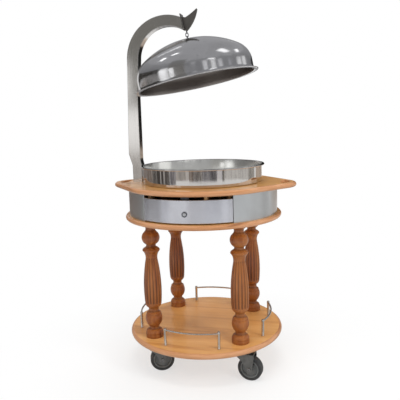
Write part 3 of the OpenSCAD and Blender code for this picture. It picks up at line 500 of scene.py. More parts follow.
# Painted shade: near-black steel for the drawer catch in the dark gap above the drawer, and for the
# inside of the lock's keyway.
SHADE_DARK_STEEL = worn_metal("shade_dark_steel", "4A4B4D", "2C2C2D", (0.4, 0.6), 50)
ZINC = worn_metal("zinc_plate", "8C8D8C", "5C5D5C", (0.34, 0.52), 34)
SLIDE_ZINC = worn_metal("slide_zinc", "AEB2B5", "7E8285", (0.25, 0.42), 22)
SCREW_STEEL = worn_metal("screw_steel", "9C9D9F", "5E5E60", (0.25, 0.45), 70)
LOCK_METAL = worn_metal("lock_metal", "D6D8DC", "8E9094", (0.2, 0.36), 80)
BARREL_METAL = worn_metal("barrel_metal", "7E8086", "56585C", (0.18, 0.34), 80)
FORK_STEEL = worn_metal("fork_steel", "828382", "5C5D5D", (0.4, 0.58), 34)
HUB_PLASTIC = moulded("hub_plastic", "686A69", "82827F", (0.35, 0.55))
TYRE_RUBBER = moulded("tyre_rubber", "303132", "585755", (0.45, 0.65), grain=300, bump=0.25)


# ---- Boards ----

def wing_outline():
    """Round board drawn out to its two handles along common tangents."""
    lean = degrees(acos((TOP_R - WING_R) / WING_X))
    return (arc((WING_X, 0), WING_R, -lean, lean, 48)
            + arc((0, 0), TOP_R, lean, 180 - lean, 110)
            + arc((-WING_X, 0), WING_R, 180 - lean, 180 + lean, 48)
            + arc((0, 0), TOP_R, 180 + lean, 360 - lean, 110))


def slot_outline(side):
    """D-shaped hand slot, its curved wall round the middle of the handle."""
    r = WING_R - GRIP_W
    cx = SLOT_X - WING_X + SLOT_R
    cy = sqrt((r - SLOT_R) ** 2 - cx ** 2)
    turn = degrees(atan2(cy, cx))
    points = (arc((0, 0), r, -turn, turn, 30) + arc((cx, cy), SLOT_R, turn, 180, 10)[1:]
              + arc((cx, -cy), SLOT_R, 180, 360 - turn, 10)[:-1])
    return [(side * (WING_X + x), side * y) for x, y in points]


def board(name, node, outline, z, top, holes=(), pockets=()):
    """Wooden board with a half-round edge, softened holes through it and pockets from below."""
    edge, ease, steps = (top - z) / 2, 3.0, 14
    turns = [pi * (k / steps - 0.5) for k in range(steps + 1)]
    rings = stepped(outline, [(z + edge + edge * sin(a), edge * (cos(a) - 1)) for a in turns])
    shape = Shape().add(loft(rings, caps=False), slot=1)
    turns = [(s, radians(a)) for s, a in zip([-1] * 4 + [1] * 4, (90, 60, 30, 0, 0, 30, 60, 90))]
    for hole in holes:
        rings = stepped(hole, [(z + edge + s * (edge - ease + ease * sin(a)),
                                ease * (1 - cos(a))) for s, a in turns])
        shape.add(loft(rings, caps=False), slot=1)
    rims = [offset(hole, ease) for hole in holes]
    inner = offset(outline, -edge)
    shape.add(sheet_fill(inner, rims, top), flat=True)
    mouths = [circle(r, 32, (x, y)) for x, y, r, _ in pockets]
    for mouth, (*_, deep) in zip(mouths, pockets):
        shape.add(prism(mouth, z, z + deep, caps=False), slot=2)
        shape.add(plane(mouth, z + deep), slot=2, flat=True)
    shape.add(sheet_fill(inner, rims + mouths, z), flat=True)
    shape.build(name, [FACE_WOOD, EDGE_WOOD, SAWN_WOOD], "frame", "board_wood", node)


def make_boards():
    sinks = [(*polar(LEG_AT, a), 12, 9) for a in CORNERS.values()]
    sinks += [(*polar(RAIL_AT, a + s * RAIL_HALF_ANGLE), 5, 4) for a in (0, 90, 180, 270)
              for s in (-1, 1)]
    board("shelf_board", "shelf", circle(BOARD_R), SHELF_Z, SHELF_TOP, pockets=sinks)
    board("cabinet_board", "cabinet_floor", circle(BOARD_R), LEG_TOP, CABINET_Z)
    board("top_board_shaped", "top_board", wing_outline(), TOP_UNDER, TOP_Z,
          holes=[slot_outline(1), slot_outline(-1)])


# ---- Legs ----

# Turning of a leg from its foot up: height, radius, and the bulge of the arc to the next point
LEG_ROWS = [
    (0, 35.5, 0), (14, 35.5, 0), (14, 34.2, 0), (15.5, 34.2, 1.6), (25, 33.6, 1.2), (34, 27, -1.8),
    (42, 20.8, -0.7), (48, 21.6, 7.4), (97, 31.6, 0), (97, 30, 0), (99, 30.6, 0.8),
    (106, 28.4, -1.6), (116, 20.4, -0.5), (123, 20.6, -0.5), (129, 24.4, 1.8),
    (143, 33.4, 6.5), (329, 24.8, -0.4), (342, 24.2, -2.2), (366, 33.6, 0), (367.5, 35, 0.6),
    (373, 34.6, 0.8), (381, 25.4, -1.2), (388, 19.6, -0.5), (394, 20.6, 13), (444, 26.2, 0),
    (444, 24.8, 0), (447, 24.2, -0.9), (454, 19.8, -0.4), (462, 20, -0.8), (469, 25.5, 0),
    (482, 25.5, 0)]
FLUTES, FLUTE_R, FLUTE_EASE = 16, 5.6, 0.35
FLUTE_LOW, FLUTE_HIGH, FLUTE_BULGE = (37.4, 150), (28, 336), 6.2


def leg_profile():
    """Softened outline of a leg as radius and height, close enough for its flutes."""
    points = []
    for (z, r, bulge), (z1, r1, _) in zip(LEG_ROWS, LEG_ROWS[1:]):
        length = hypot(z1 - z, r1 - r)
        count = max(3, round(length / 2.4)) if bulge else 1
        points += bulged((r, z), (r1, z1), bulge, count)[:-1]
    points.append((LEG_ROWS[-1][1], LEG_ROWS[-1][0]))
    return soften(points, 0.7, count=3, least=24)


def flute_depth(z):
    """Distance from the axis to the cutter's middle at a height, and the cutter's radius there."""
    (x0, z0), (x1, z1) = FLUTE_LOW, FLUTE_HIGH
    at = min(max((z - z0) / (z1 - z0), 0), 1)
    middle = x0 + (x1 - x0) * at + FLUTE_BULGE * 4 * at * (1 - at)
    beyond = max(z0 - z, z - z1, 0)
    return middle, sqrt(max(FLUTE_R ** 2 - beyond ** 2, 0))


def make_leg(place, corner):
    profile = leg_profile()
    halves = (0, 0.22, 0.42, 0.56, 0.65, 0.74, 0.87)
    steps = [-f for f in halves[:0:-1]] + list(halves) + [1.0]
    pitch = 360 / FLUTES
    angles = [pitch * (k + f / 2) for k in range(FLUTES) for f in steps]
    rings, marks = [], []
    for r, z in profile:
        near = [q for q, y in profile if abs(y - z) < 9]
        groove = (sum(near) / len(near) - r) / 5
        middle, cutter = flute_depth(z)
        ring_points = []
        for a in angles:
            off = radians((a + pitch / 2) % pitch - pitch / 2)
            inside = cutter ** 2 - (middle * sin(off)) ** 2
            radius, cut = r, 0.0
            if inside > 0:
                wall = middle * cos(off) - sqrt(inside)
                h = min(max(0.5 + 0.5 * (wall - r) / FLUTE_EASE, 0), 1)
                radius = wall * (1 - h) + r * h - FLUTE_EASE * h * (1 - h)
                cut = max(r - radius, 0) / 2.4
            ring_points.append((*polar(radius, a), z))
            # Marks: X is how deep a point lies in a groove or flute, for painted shade there. Y is
            # how far a bead stands out, for wear and painted highlight.
            marks.append((min(max(groove, 0) + cut, 1), min(max(-groove, 0), 1), 0))
        rings.append(ring_points)
    shape = Shape().add(loft(rings), marks=marks)
    foot = Matrix.Translation((*polar(LEG_AT, corner), SHELF_TOP))
    shape.build("turned_leg_" + place, [TURNED_WOOD], "frame", "leg_wood", "leg_" + place, foot,
                mark="turning", sharp=40)


# ---- Arm and crest ----

ARM_W, BEND_Z = 40, 1291
ARM_OUT, ARM_IN = ((-136, BEND_Z), 172), ((-130, BEND_Z), 128)
TIP_X, TIP_Z, TIP_SLOPE = -60.5, 1397, 0.21


def tip_line(z):
    return TIP_X - (z - TIP_Z) * TIP_SLOPE


def tip_angle(centre, radius):
    """Angle at which an arc of the bend meets the line of the tip."""
    low, high = 0.0, 120.0
    for _ in range(40):
        a = (low + high) / 2
        x, z = arc(centre, radius, a, a, 1)[0]
        low, high = (a, high) if x > tip_line(z) else (low, a)
    return high


def arm_stations():
    """Outer and inner points of the arm from its foot to its tip, as x and z."""
    heights = [TOP_Z, 813, 849, 860, 871, 885, 899, 950, 1000, 1060, 1138, 1190, 1240]
    outer_line = [(-305, TOP_Z), (-305, 849), (-320, 899), (-308, BEND_Z)]
    inner_line = [(-263.5, TOP_Z), (-263.5, 849), (-268.5, 871), (-268.5, 1138), (-258, BEND_Z)]

    def at(line, z):
        return next(x0 + (x1 - x0) * (z - z0) / (z1 - z0)
                    for (x0, z0), (x1, z1) in zip(line, line[1:]) if z0 <= z <= z1)
    pairs = [((at(outer_line, z), z), (at(inner_line, z), z)) for z in heights]
    outer, inner = (arc(*bend, 180, tip_angle(*bend), 56) for bend in (ARM_OUT, ARM_IN))
    return pairs + list(zip(outer, inner))


def make_arm():
    """Square tube, with a mark on it of how far along it a point lies, for the brushing."""
    rings, marks = [], []
    run, last = 0.0, None
    for (ox, oz), (ix, iz) in arm_stations():
        mid = Vector(((ox + ix) / 2, (oz + iz) / 2))
        across = Vector((ix - ox, iz - oz))
        half = across.length / 2
        across.normalize()
        if last is not None:
            run += (mid - last).length
        last = mid
        section = soften([(-half, -ARM_W / 2), (half, -ARM_W / 2), (half, ARM_W / 2),
                          (-half, ARM_W / 2)], 1.8, closed=True, count=4)
        rings.append([(mid.x + across.x * s, y, mid.y + across.y * s) for s, y in section])
        marks += [(run * MM, s * MM, y * MM) for s, y in section]
    arm = Shape().add(loft(rings), marks=marks)
    even(arm.build("arm_tube", [ARM_STEEL], "frame", "arm_steel", "arm", mark="run", sharp=50))


make_boards()
for place, corner in CORNERS.items():
    make_leg(place, corner)
make_arm()


# ---- Pan and dome ----

def make_pan():
    r, h, t, c, rim, roll = 250, 74, 2, 6, 11, 3
    outer = [(0, 0)] + arc((r - c, c), c, -90, 0, 10)
    neck = [(r, h - 8), (r, h - t - 1.4), (r + 1.4, h - t)]
    lip = arc((r + rim - roll, h - roll), roll, -60, 90, 14)
    inner = [(r + 1.0, h), (r - t + 0.6, h - 0.6), (r - t, h - 2)]
    inner += [(r - t, c)] + arc((r - c, c), c - t, 0, -90, 10) + [(0, t)]
    body = Shape().add(revolve(outer + neck + [(r + rim - roll - 1, h - t)] + lip + inner[:3], 256))
    body.add(revolve(inner[2:], 256), slot=1)
    body.build("pan_spun", [PAN_STEEL, WELL_STEEL], "pan", "mirror_steel", "pan",
               Matrix.Translation((0, 0, TOP_Z)), sharp=40)


DOME_R, DOME_FLANGE, DOME_H, CROWN_R, SHOULDER_R = 241, 258.5, 175.5, 360, 84.944
SHOULDER_X, SKIRT_H, DOME_T = 156.056, 42, 2
DOME_LEAN = radians(10.6)
DOME_PLACE = Matrix.Translation((-13.6112, 0, 1189)) @ Matrix.Rotation(-DOME_LEAN, 4, "Y")


def dome_line(w):
    """Half section of the dome from its rim up to its axis, drawn in by the sheet w."""
    meet = degrees(atan2(SKIRT_H - (DOME_H - CROWN_R), SHOULDER_X))
    shoulder = arc((SHOULDER_X, SKIRT_H), SHOULDER_R - w, 0, meet, 18)
    crown = arc((0, DOME_H - CROWN_R), CROWN_R - w, meet, 90, 40)[1:]
    return shoulder + [(x if x > 1e-3 else 0.0, z) for x, z in crown]


def make_dome():
    roll = DOME_T / 2 + 0.6
    edge = arc((DOME_FLANGE - roll, roll), roll, -90, 90, 10)
    outside = [(DOME_R + 1.8, DOME_T), (DOME_R + 0.6, DOME_T + 0.6), (DOME_R, DOME_T + 2.0),
               (DOME_R, 16), (DOME_R, 29)]
    r = DOME_R - DOME_T
    inside = [(r, 29), (r, 16), (r, 2), (r + 0.6, 0.5), (DOME_R, 0)]
    shape = Shape().add(revolve(inside[-1:] + edge + outside + dome_line(0), 256))
    shape.add(revolve(dome_line(DOME_T)[::-1] + inside, 256), slot=1)
    shape.build("dome_spun", [DOME_STEEL, INSIDE_STEEL], "dome", "mirror_steel", "dome_shell",
                DOME_PLACE, sharp=45)


make_pan()
make_dome()


# ---- Crest, hook and link ----

HOOK, SWING, TILT = (-49.935, 1390.962), (-49.935, 1385.562), (-48.544, 1375.659)
WIRE_R, EYE_R = 1.6, 5.4


def make_crest():
    low, high, thick = TIP_Z + 6, TIP_Z + 66, 5
    foot = Vector((HOOK[0], HOOK[1] + EYE_R - 0.4))
    neck = Vector((3.4, 0))
    plate = [(tip_line(low), low), (tip_line(high), high), (tip_line(high) + thick, high),
             (tip_line(low) + thick, low)]
    beak = [(tip_line(high) + thick / 2, high - 8), (tip_line(low) + thick / 2, low),
            tuple(foot - neck)]
    beak += bulged(foot + neck, foot + Vector((47, 81)), 7, 24)
    beak += [tuple(foot + Vector((44, 86)))]
    beak += bulged(foot + Vector((41, 84)), foot + Vector((-5, 54)), -1.5, 14)
    shape = Shape().add(prism(plate, -ARM_W / 2, ARM_W / 2), flat=True)
    shape.add(prism(beak, -thick / 2, thick / 2), flat=True)
    bevelled(shape.build("crest_plates", [CREST_STEEL], "frame", "crest_steel", "arm_crest",
                         UPRIGHT, weld=False), 0.7, 2)


def wire_eye(centre, axis):
    """Ring of wire round the X axis, seen edge on from the drawer's side."""
    points = [(centre[0] + axis[0] * s, c, centre[1] + axis[1] * s) for c, s in circle(EYE_R, 40)]
    return tube(points, WIRE_R, 16, loop=True)


def make_hook():
    eye = Shape().add(wire_eye(HOOK, (0, 1)))
    eye.build("hook_ring", [HOOK_STEEL], "frame", "hook_steel", "hook_eye")
    ends = arc((0, 3.3), 5.2, 0, 180, 18) + arc((0, -3.3), 5.2, 180, 360, 18)
    wire = tube([(x, y, 0) for x, y in ends], WIRE_R, 16, loop=True)
    middle = Matrix.Translation(((SWING[0] + TILT[0]) / 2, 0, (SWING[1] + TILT[1]) / 2))
    place = middle @ Matrix.Rotation(radians(-8), 4, "Y") @ UPRIGHT
    Shape().add(wire).build("link_wire", [HOOK_STEEL], "link", "hook_steel", "dome_link", place)


def make_stud():
    axis = (-sin(DOME_LEAN), cos(DOME_LEAN))
    seat = DOME_H - 0.1
    boss = [(0, seat), (8.6, seat), (9, seat + 0.4), (9, seat + 1.2), (8.5, seat + 1.7),
            (4.2, seat + 2.7), (3.2, seat + 3.2), (2.6, seat + 4.1), (0, seat + 4.1)]
    thread = [(0, 166.6), (2.6, 166.6), (3, 167), (3, seat + 1), (0, seat + 1)]
    nut = [(3, 168.9), (6.2, 168.9), (7, 169.6), (7, 173.3), (3, 173.3)]
    shape = Shape()
    for profile, steps in ((boss, 48), (thread, 32), (nut, 6)):
        shape.add(moved(revolve(profile, steps), DOME_PLACE), flat=steps == 6)
    shape.add(wire_eye((TILT[0] - axis[0] * EYE_R, TILT[1] - axis[1] * EYE_R), axis))
    shape.build("stud_with_eye", [HOOK_STEEL], "dome", "hook_steel", "dome_stud", weld=False,
                sharp=40)


# ---- Gallery rails ----

def make_rails():
    post = [(0, 0), (6, 0), (6, 2.4), (5.7, 3.2), (5.7, 60), (6, 61), (6, 69.2), (5.6, 70.6),
            (4.6, 71.6), (3, 72), (0, 72)]
    for side, turn in (("front", 270), ("right", 0), ("back", 90), ("left", 180)):
        posts = Shape()
        for s in (-1, 1):
            at = (*polar(RAIL_AT, turn + s * RAIL_HALF_ANGLE), SHELF_TOP)
            posts.add(moved(revolve(post, 40), Matrix.Translation(at)))
        posts.build(side + "_posts_turned", [RAIL_STEEL], "frame", "rail_steel",
                    side + "_rail_posts", weld=False, sharp=40)
        line = [(*polar(RAIL_AT, turn - 22.2 + 44.4 * k / 40), SHELF_TOP + 64) for k in range(41)]
        rod = Shape().add(tube(line, 3.5, 24))
        rod.build(side + "_rod_bent", [RAIL_STEEL], "frame", "rail_steel", side + "_rail_rod",
                  sharp=40)


# ---- Cabinet and drawer ----

def make_apron():
    jamb, t = 13, SHEET_T
    inner = APRON_R - t
    start, end = 270 + OPENING, 630 - OPENING
    step = degrees(t / inner)
    near, far = radians(start), radians(end)
    back = Vector((sin(far), -cos(far))) * t
    on = Vector((-sin(near), cos(near))) * t
    outline = arc((0, 0), APRON_R, start, end, 288)
    outline += [polar(APRON_R - jamb, end), tuple(Vector(polar(APRON_R - jamb, end)) + back)]
    outline += arc((0, 0), inner, end - step, start + step, 288)
    outline += [tuple(Vector(polar(APRON_R - jamb, start)) + on), polar(APRON_R - jamb, start)]
    outline = soften(outline, 1.6, closed=True, count=4, least=40)
    ease = 0.3
    levels = [(CABINET_Z, -ease), (CABINET_Z + ease, 0), (TOP_UNDER - ease, 0), (TOP_UNDER, -ease)]
    shape = Shape().add(loft(stepped(outline, levels), caps=False))
    for z in (CABINET_Z, TOP_UNDER):
        shape.add(sheet_fill(offset(outline, -ease), [], z), flat=True)
    even(shape.build("apron_rolled", [BAND_STEEL], "frame", "apron_steel", "apron_band", sharp=35))


BOX_X, BOX_FRONT = 138, -262


def make_drawer_front():
    """Curved sheet with its edges turned in, bored for the lock, and the tail under the box."""
    low, high, lip, t, r = CABINET_Z + 4, TOP_UNDER - 12, 8, SHEET_T, APRON_R
    reach = radians(OPENING) * r - 2.5
    # The sheet's faces are in columns of which the middle ones, round the lock, are square
    patch, cell, far = 16, 4, 42
    across = 2 * patch // cell
    columns = [-reach + (reach - patch) * k / far for k in range(far)]
    columns += [cell * k - patch for k in range(across + 1)]
    columns += [patch + (reach - patch) * k / far for k in range(1, far + 1)]
    heights = [low + 2.6] + [LOCK_Z - patch + cell * k for k in range(across + 1)] + [high - 2.6]
    section = [(0, z) for z in heights] + arc((t, high - t), t, 180, 90, 6)
    section += [(lip, high), (lip, high - t), (t + 0.5, high - t), (t, high - t - 0.5)]
    inside = len(section)
    section += [(t, z) for z in heights[::-1]]
    section += [(t, low + t + 0.5), (t + 0.5, low + t), (lip, low + t), (lip, low)]
    section += arc((t, low + t), t, 270, 180, 6)

    def at(u, d, z):
        return (*polar(r - d, 270 + degrees(u / r)), z)
    verts, faces = loft([[at(u, d, z) for d, z in section] for u in columns])
    n = len(section)
    rows = {start + k for start in (1, inside + 1) for k in range(across)}
    kept = [f for i, f in enumerate(faces) if not (far <= i // n < far + across and i % n in rows)]
    square = [(c * patch - s * z, s * patch + c * z)
              for c, s in ((1, 0), (0, 1), (-1, 0), (0, -1)) for z in range(-patch, patch, cell)]
    hole = [(9 * u / hypot(u, z), 9 * z / hypot(u, z)) for u, z in square]
    rings = [[at(u, d, LOCK_Z + z) for u, z in points]
             for points, d in ((square, 0), (hole, 0), (hole, t), (square, t))]
    shape = Shape().add((verts, kept)).add(loft(rings, caps=False))
    tail = arc((0, 0), r - 1.5, 237.5, 302.5, 60)
    tail += [(BOX_X, BOX_FRONT), (BOX_X, BOX_FRONT + 20), (-BOX_X, BOX_FRONT + 20),
             (-BOX_X, BOX_FRONT)]
    shape.add(prism(tail, low + 0.05, low + t - 0.05), flat=True)
    even(shape.build("drawer_sheet", [FRONT_STEEL], "drawer", "apron_steel", "drawer_front",
                     sharp=35))


def make_drawer_box():
    x, front, back, low, high, wall, floor = BOX_X, BOX_FRONT, 148, 658, 728, 9, 6
    inner, near, far = x - wall, front + wall, back - wall
    shape = Shape()
    for x0, x1, y0, y1, z0, z1 in (
            (-x, -inner, front, back, low, high), (inner, x, front, back, low, high),
            (-inner, inner, front, near, low, high), (-inner, inner, far, back, low, high),
            (-inner, inner, near, far, low + 0.5, low + floor)):
        shape.add(prism([(x0, y0), (x1, y0), (x1, y1), (x0, y1)], z0, z1), flat=True)
    bevelled(shape.build("drawer_boards", [DRAWER_WOOD], "drawer", "inner_wood", "drawer_box",
                         weld=False), 0.9, 2)


def make_lock():
    place = Matrix.Translation((0, -APRON_R, LOCK_Z)) @ UPRIGHT
    ring_line = [(6.08, -14), (8.98, -14), (8.98, -0.15), (11, -0.15), (11, 1.5), (10.5, 2.6),
                 (9.4, 3), (7.0, 3), (6.4, 2.6), (6.08, 2.0), (6.08, -14)]
    ring = Shape().add(revolve(ring_line, 64))
    ring.build("lock_ring", [BARREL_METAL], "drawer", "lock_metal", "lock_barrel", place, sharp=45)
    key = [(0.7, -3.5), (0.7, 3.5), (-0.7, 3.5), (-0.7, -3.5)]
    face, keyway = 2.5, -1
    shape = Shape().add(revolve([(0, -15), (5.95, -15), (5.95, 2.0), (5.5, face)], 64))
    shape.add(sheet_fill(circle(5.5, 64), [key], face), flat=True)
    # The keyway's walls and floor take the near-black steel, a painted shade in the slot.
    shape.add(prism(key, face, keyway, caps=False), slot=1, flat=True)
    shape.add(plane(key, keyway), slot=1, flat=True)
    shape.build("lock_core", [LOCK_METAL, SHADE_DARK_STEEL], "lock", "lock_metal", "lock_plug", place,
                sharp=35)


# ---- Casters ----

CASTER_TURNS = {"front_left": 20, "front_right": -10, "back_left": 160, "back_right": 25}
CROWN_Z, WHEEL_R, TRAIL = 114, 50, 35


def make_plate(name, place):
    outline = []
    for x, y, a in ((37, 28, 0), (-37, 28, 90), (-37, -28, 180), (37, -28, 270)):
        outline += arc((x, y), 8, a, a + 90, 8)
    levels = ((125, -0.5), (125.5, 0), (127.6, 0), (128, -0.4))
    shape = Shape().add(loft(stepped(outline, levels)), flat=True)
    cup = [(0, 114.4), (21.6, 114.4), (23.4, 115), (24.2, 116.6), (26.6, 123.6), (27.6, 125.1),
           (0, 125.1)]
    kingpin = [(0, 107.1), (8.2, 107.1), (9, 107.8), (9, 109.6), (8.6, 110.1), (6, 110.1),
               (6, 114.9), (0, 114.9)]
    shape.add(revolve(cup, 64)).add(revolve(kingpin, 48))
    shape.build(name + "_plate_pressed", [ZINC], "frame", "zinc_plate", name + "_plate", place,
                weld=False, sharp=35)


def make_fork(name, place):
    side = arc((TRAIL, WHEEL_R), 13, 180, 360, 24)
    side += [(50, 68), (55, 98), (54, CROWN_Z), (-22, CROWN_Z), (-21, 102), (5, 80)]
    side = soften(side, 5, closed=True, count=4, least=14)
    shape = Shape()
    for y in (-22, 19):
        shape.add(moved(prism(side, -y - 3, -y), UPRIGHT), flat=True)
    crown = [(TRAIL + 19, -22), (TRAIL + 19, 22), (17.3, 22)] + arc((0, 0), 28, 52, 128, 10)
    crown += [(-22, 17.3), (-22, -17.3)] + arc((0, 0), 28, 232, 308, 10) + [(17.3, -22)]
    shape.add(prism(crown, CROWN_Z - 3.5, CROWN_Z), flat=True)
    bevelled(shape.build(name + "_fork_pressed", [FORK_STEEL], name + "_swivel", "zinc_plate",
                         name + "_fork", place, weld=False), 0.8, 3)


def make_axle(name, axle):
    pin = [(0, -23.6), (3.4, -23.6), (3.95, -23), (3.95, 23), (3.4, 23.6), (0, 23.6)]
    nut = [(3.9, 22), (7.5, 22), (7.5, 25), (6.6, 26), (4.4, 26), (3.9, 25.6)]
    shape = Shape().add(revolve(pin, 32))
    for s in (-1, 1):
        shape.add(revolve([(r, s * z) for r, z in nut], 6), flat=True)
    shape.build(name + "_bolt", [SCREW_STEEL], name + "_swivel", "screw_steel", name + "_axle",
                axle, weld=False, sharp=35)


def make_wheel(name, axle):
    tyre = [(38, -15.4), (38.4, -16), (41.6, -16), (42.2, -15.3), (42.9, -15.3), (43.5, -15.9)]
    tyre += arc((44.6, -10.6), 5.4, -90, -8, 9) + [(50, -4), (50, 0)]
    tyre += [(r, -z) for r, z in tyre[-2::-1]]
    rubber = Shape().add(revolve(tyre + tyre[:1]))
    rubber.build(name + "_tyre_moulded", [TYRE_RUBBER], name + "_wheel", "tyre_rubber",
                 name + "_tyre", axle, sharp=40)
    rim = [(30.8, 4), (31.4, 4.4), (33.2, 13.8), (33.8, 14.8), (34.6, 15), (37.2, 15), (37.9, 14.4)]
    boss = [(4.05, 18.4), (8.2, 18.4), (8.7, 17.9), (8.8, 15.4), (9.4, 15), (10.4, 15), (11, 14.4),
            (12.1, 4.8), (12.6, 4)]
    hole = circle(3.5, 24, polar(21, 50))
    shape = Shape().add(revolve(rim + [(r, -z) for r, z in rim[::-1]], 96))
    shape.add(revolve([(4.05, -18.4)] + boss[:1], 96))
    for s in (-1, 1):
        shape.add(revolve([(r, s * z) for r, z in boss], 96))
        web = sheet_fill(circle(30.8, 96), [circle(12.6, 96), hole], 4 * s)
        shape.add(web, flat=True)
    shape.add(prism(hole, -4, 4, caps=False))
    shape.build(name + "_hub_moulded", [HUB_PLASTIC], name + "_wheel", "hub_plastic",
                name + "_hub", axle, sharp=40)


def make_casters():
    for name, corner in CORNERS.items():
        x, y = polar(CASTER_AT, corner)
        plate = Matrix.Translation((x, y, 0))
        swivel = plate @ Matrix.Rotation(radians(CASTER_TURNS[name]), 4, "Z")
        axle = swivel @ Matrix.Translation((TRAIL, 0, WHEEL_R)) @ UPRIGHT
        make_plate(name, plate)
        make_fork(name, swivel)
        make_axle(name, axle)
        make_wheel(name, axle)


make_crest()
make_hook()
make_stud()
make_rails()
make_apron()
make_drawer_front()
make_drawer_box()
make_lock()
make_casters()


# ---- Carried-over solids ----

CARRIED_LOOKS = (
    (SAWN_WOOD, ("left_cheek", "right_cheek", "drawer_stop")),
    (SLIDE_ZINC, ("left_slide_outer", "right_slide_outer", "left_slide_inner",
                  "right_slide_inner")),
    (SCREW_STEEL, ("frame_bolts", "rail_screws", "caster_screws")),
    # The drawer catch is near black, a painted shade in the gap above the drawer.
    (ZINC, ("arm_plate", "lock_cam")), (SHADE_DARK_STEEL, ("drawer_catch",)))
for look, names in CARRIED_LOOKS:
    for obj in (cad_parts[name] for name in names):
        if not obj.data.materials:
            obj.data.materials.append(look)
        for slot in obj.material_slots:
            slot.material = look


# ---- Camera, light and floor ----

def make_camera():
    data = bpy.data.cameras.new("camera")
    data.sensor_fit = "HORIZONTAL"
    data.sensor_width, data.lens = 36, 46.17
    camera = new_object("camera", data)
    position = Vector((0.4935, -2.1104, 1.0379))
    target = Vector((-0.0134, -0.0031, 0.6974))
    turn = (target - position).to_track_quat("-Z", "Y").to_matrix().to_4x4()
    roll = Matrix.Rotation(radians(-1.62), 4, "Z")
    camera.matrix_world = Matrix.Translation(position) @ turn @ roll
    bpy.context.scene.camera = camera


def emitting(name, foot, head=None, strength=1.0, clutter=0.0, streaks=0.0):
    """Glow of a card, from one tone at its foot to another at its head, with shapes in between."""
    look = Look(name)
    height = look.node("SeparateXYZ", {"Vector": look.node("TexCoord").outputs["Generated"]})
    colour = look.mix(height.outputs["Z"], foot, head or foot)
    if streaks:
        lines = look.noise(2.0, 4, 0.65, stretch=(9, 9, 0.3))
        colour = look.stain(colour, "ECE8E4", lines, 0.52, 0.6, streaks)
        colour = look.stain(colour, "2A2320", lines, 0.46, 0.38, streaks)
    if clutter:
        shapes = look.noise(1.6, 3, 0.6, stretch=(3, 3, 6))
        colour = look.stain(colour, "1A1918", shapes, 0.42, 0.6, clutter)
        colour = look.stain(colour, "D8D6D2", shapes, 0.36, 0.3, clutter)
    glow = look.node("Emission", {"Color": colour, "Strength": strength})
    look.show(glow.outputs[0])
    look.tree.nodes.remove(look.shader)
    look.material.cycles.emission_sampling = "NONE"
    return look.material


def card(name, corners, *glow, **more):
    """Flat reflector in metres that is seen in reflections alone."""
    mesh = bpy.data.meshes.new(name)
    mesh.from_pydata(corners, [], [tuple(range(len(corners)))])
    mesh.materials.append(emitting(name, *glow, **more))
    obj = new_object(name, mesh)
    obj.visible_camera = obj.visible_diffuse = obj.visible_shadow = False


def wall(name, radius, start, end, low, high, *glow, **more):
    """Upright card between two directions seen from above, in degrees."""
    a, b = polar(radius, start), polar(radius, end)
    card(name, [(*a, low), (*b, low), (*b, high), (*a, high)], *glow, **more)


def area_light(name, place, aim, size, power, tint=(1, 1, 1)):
    data = bpy.data.lights.new(name, "AREA")
    data.shape = "RECTANGLE"
    data.size, data.size_y = size
    data.energy = power
    data.color = tint
    obj = new_object(name, data)
    obj.location = place
    obj.rotation_euler = (Vector(aim) - Vector(place)).to_track_quat("-Z", "Y").to_euler()
    obj.visible_glossy = False


LAMP_Z, CEILING_Z = 3.42, 3.5

# Walls that the metal mirrors: radius, two directions, two heights, tones from foot to head,
# strength
ROOM_WALLS = [
    (2.6, 120, 178, 0.0, 1.1, "6E5C52", "8A7E76"),
    (2.6, 178, 222, 0.2, 1.1, "4A4441", "6A6562"),
    (3.4, -138, -126, 0.2, 1.1, "7E7A80", "76727A"),
    (3.8, -126, -101, 0.25, 1.1, "C4BCB6", "DCDAD6"),
    (3.8, -101, -94, 0.2, 1.15, "7C6658", "A09A96"),
    (3.8, -94, -77, 0.2, 1.15, "463A36", "A09A96"),
    (3.8, -77, -61, 0.2, 1.15, "74727A", "A09CA0"),
    (3.8, -61, -51, 0.2, 1.15, "56545A", "908E92"),
    (3.8, -51, -41, 0.25, 1.1, "E4E2E6"),
    (3.8, -41, -37, 0.2, 1.15, "8A8680"),
    (3.8, -37, 16, 0.25, 1.1, "DEDCD8", "E2E0DE"),
    (3.8, 16, 36, 0.2, 1.15, "A8A49E"),
    (3.8, 42, 84, 0.1, 0.74, "CFBBA8", "BBA898"),
    (3.6, 46, 94, 0.74, 1.95, "242322"),
    (3.3, -127, -96, 0.72, 1.17, "ECEAEA", "FFFFFF", 1.25),
    (3.2, -127, -96, 1.17, 1.6, "9A9894", "7E7C78"),
    (3.2, -127, -96, 1.6, LAMP_Z, "7E7C78", "8C8C8C"),
    (3.8, -96, 46, 1.15, 1.9, "A8A8A9", "929294"),
    (3.8, 94, 122, 0.1, 1.9, "8E8E90"),
    (4.0, -96, 150, 1.9, LAMP_Z, "8A8A8C", "A2A2A4"),
    (3.9, 150, 234, 1.9, LAMP_Z, "8A8A8C", "A2A2A4"),
]
# The row of windows under the ceiling: the two directions, tone
WINDOW_ROW = [(-84, -76, "B4B4B6"), (-62, -54, "F0F0F2"), (-47, -38, "FFFFFF"),
              (-32, -24, "E6E6E8"), (-10, -4, "B8B8BC"), (12, 24, "FFFFFF"), (28, 40, "FFFFFF")]
# Lamps under the ceiling: place, length, width, turn, strength
LAMPS = [(-2.25, -0.6, 0.7, 0.4, 15, 2.8), (-1.15, -0.45, 0.45, 0.26, 15, 2.2),
         (1.95, -0.15, 1.2, 0.7, 10, 1.9), (2.6, 1.5, 1.0, 0.6, 10, 1.9),
         (-1.6, 1.3, 1.2, 0.16, 15, 1.8)]


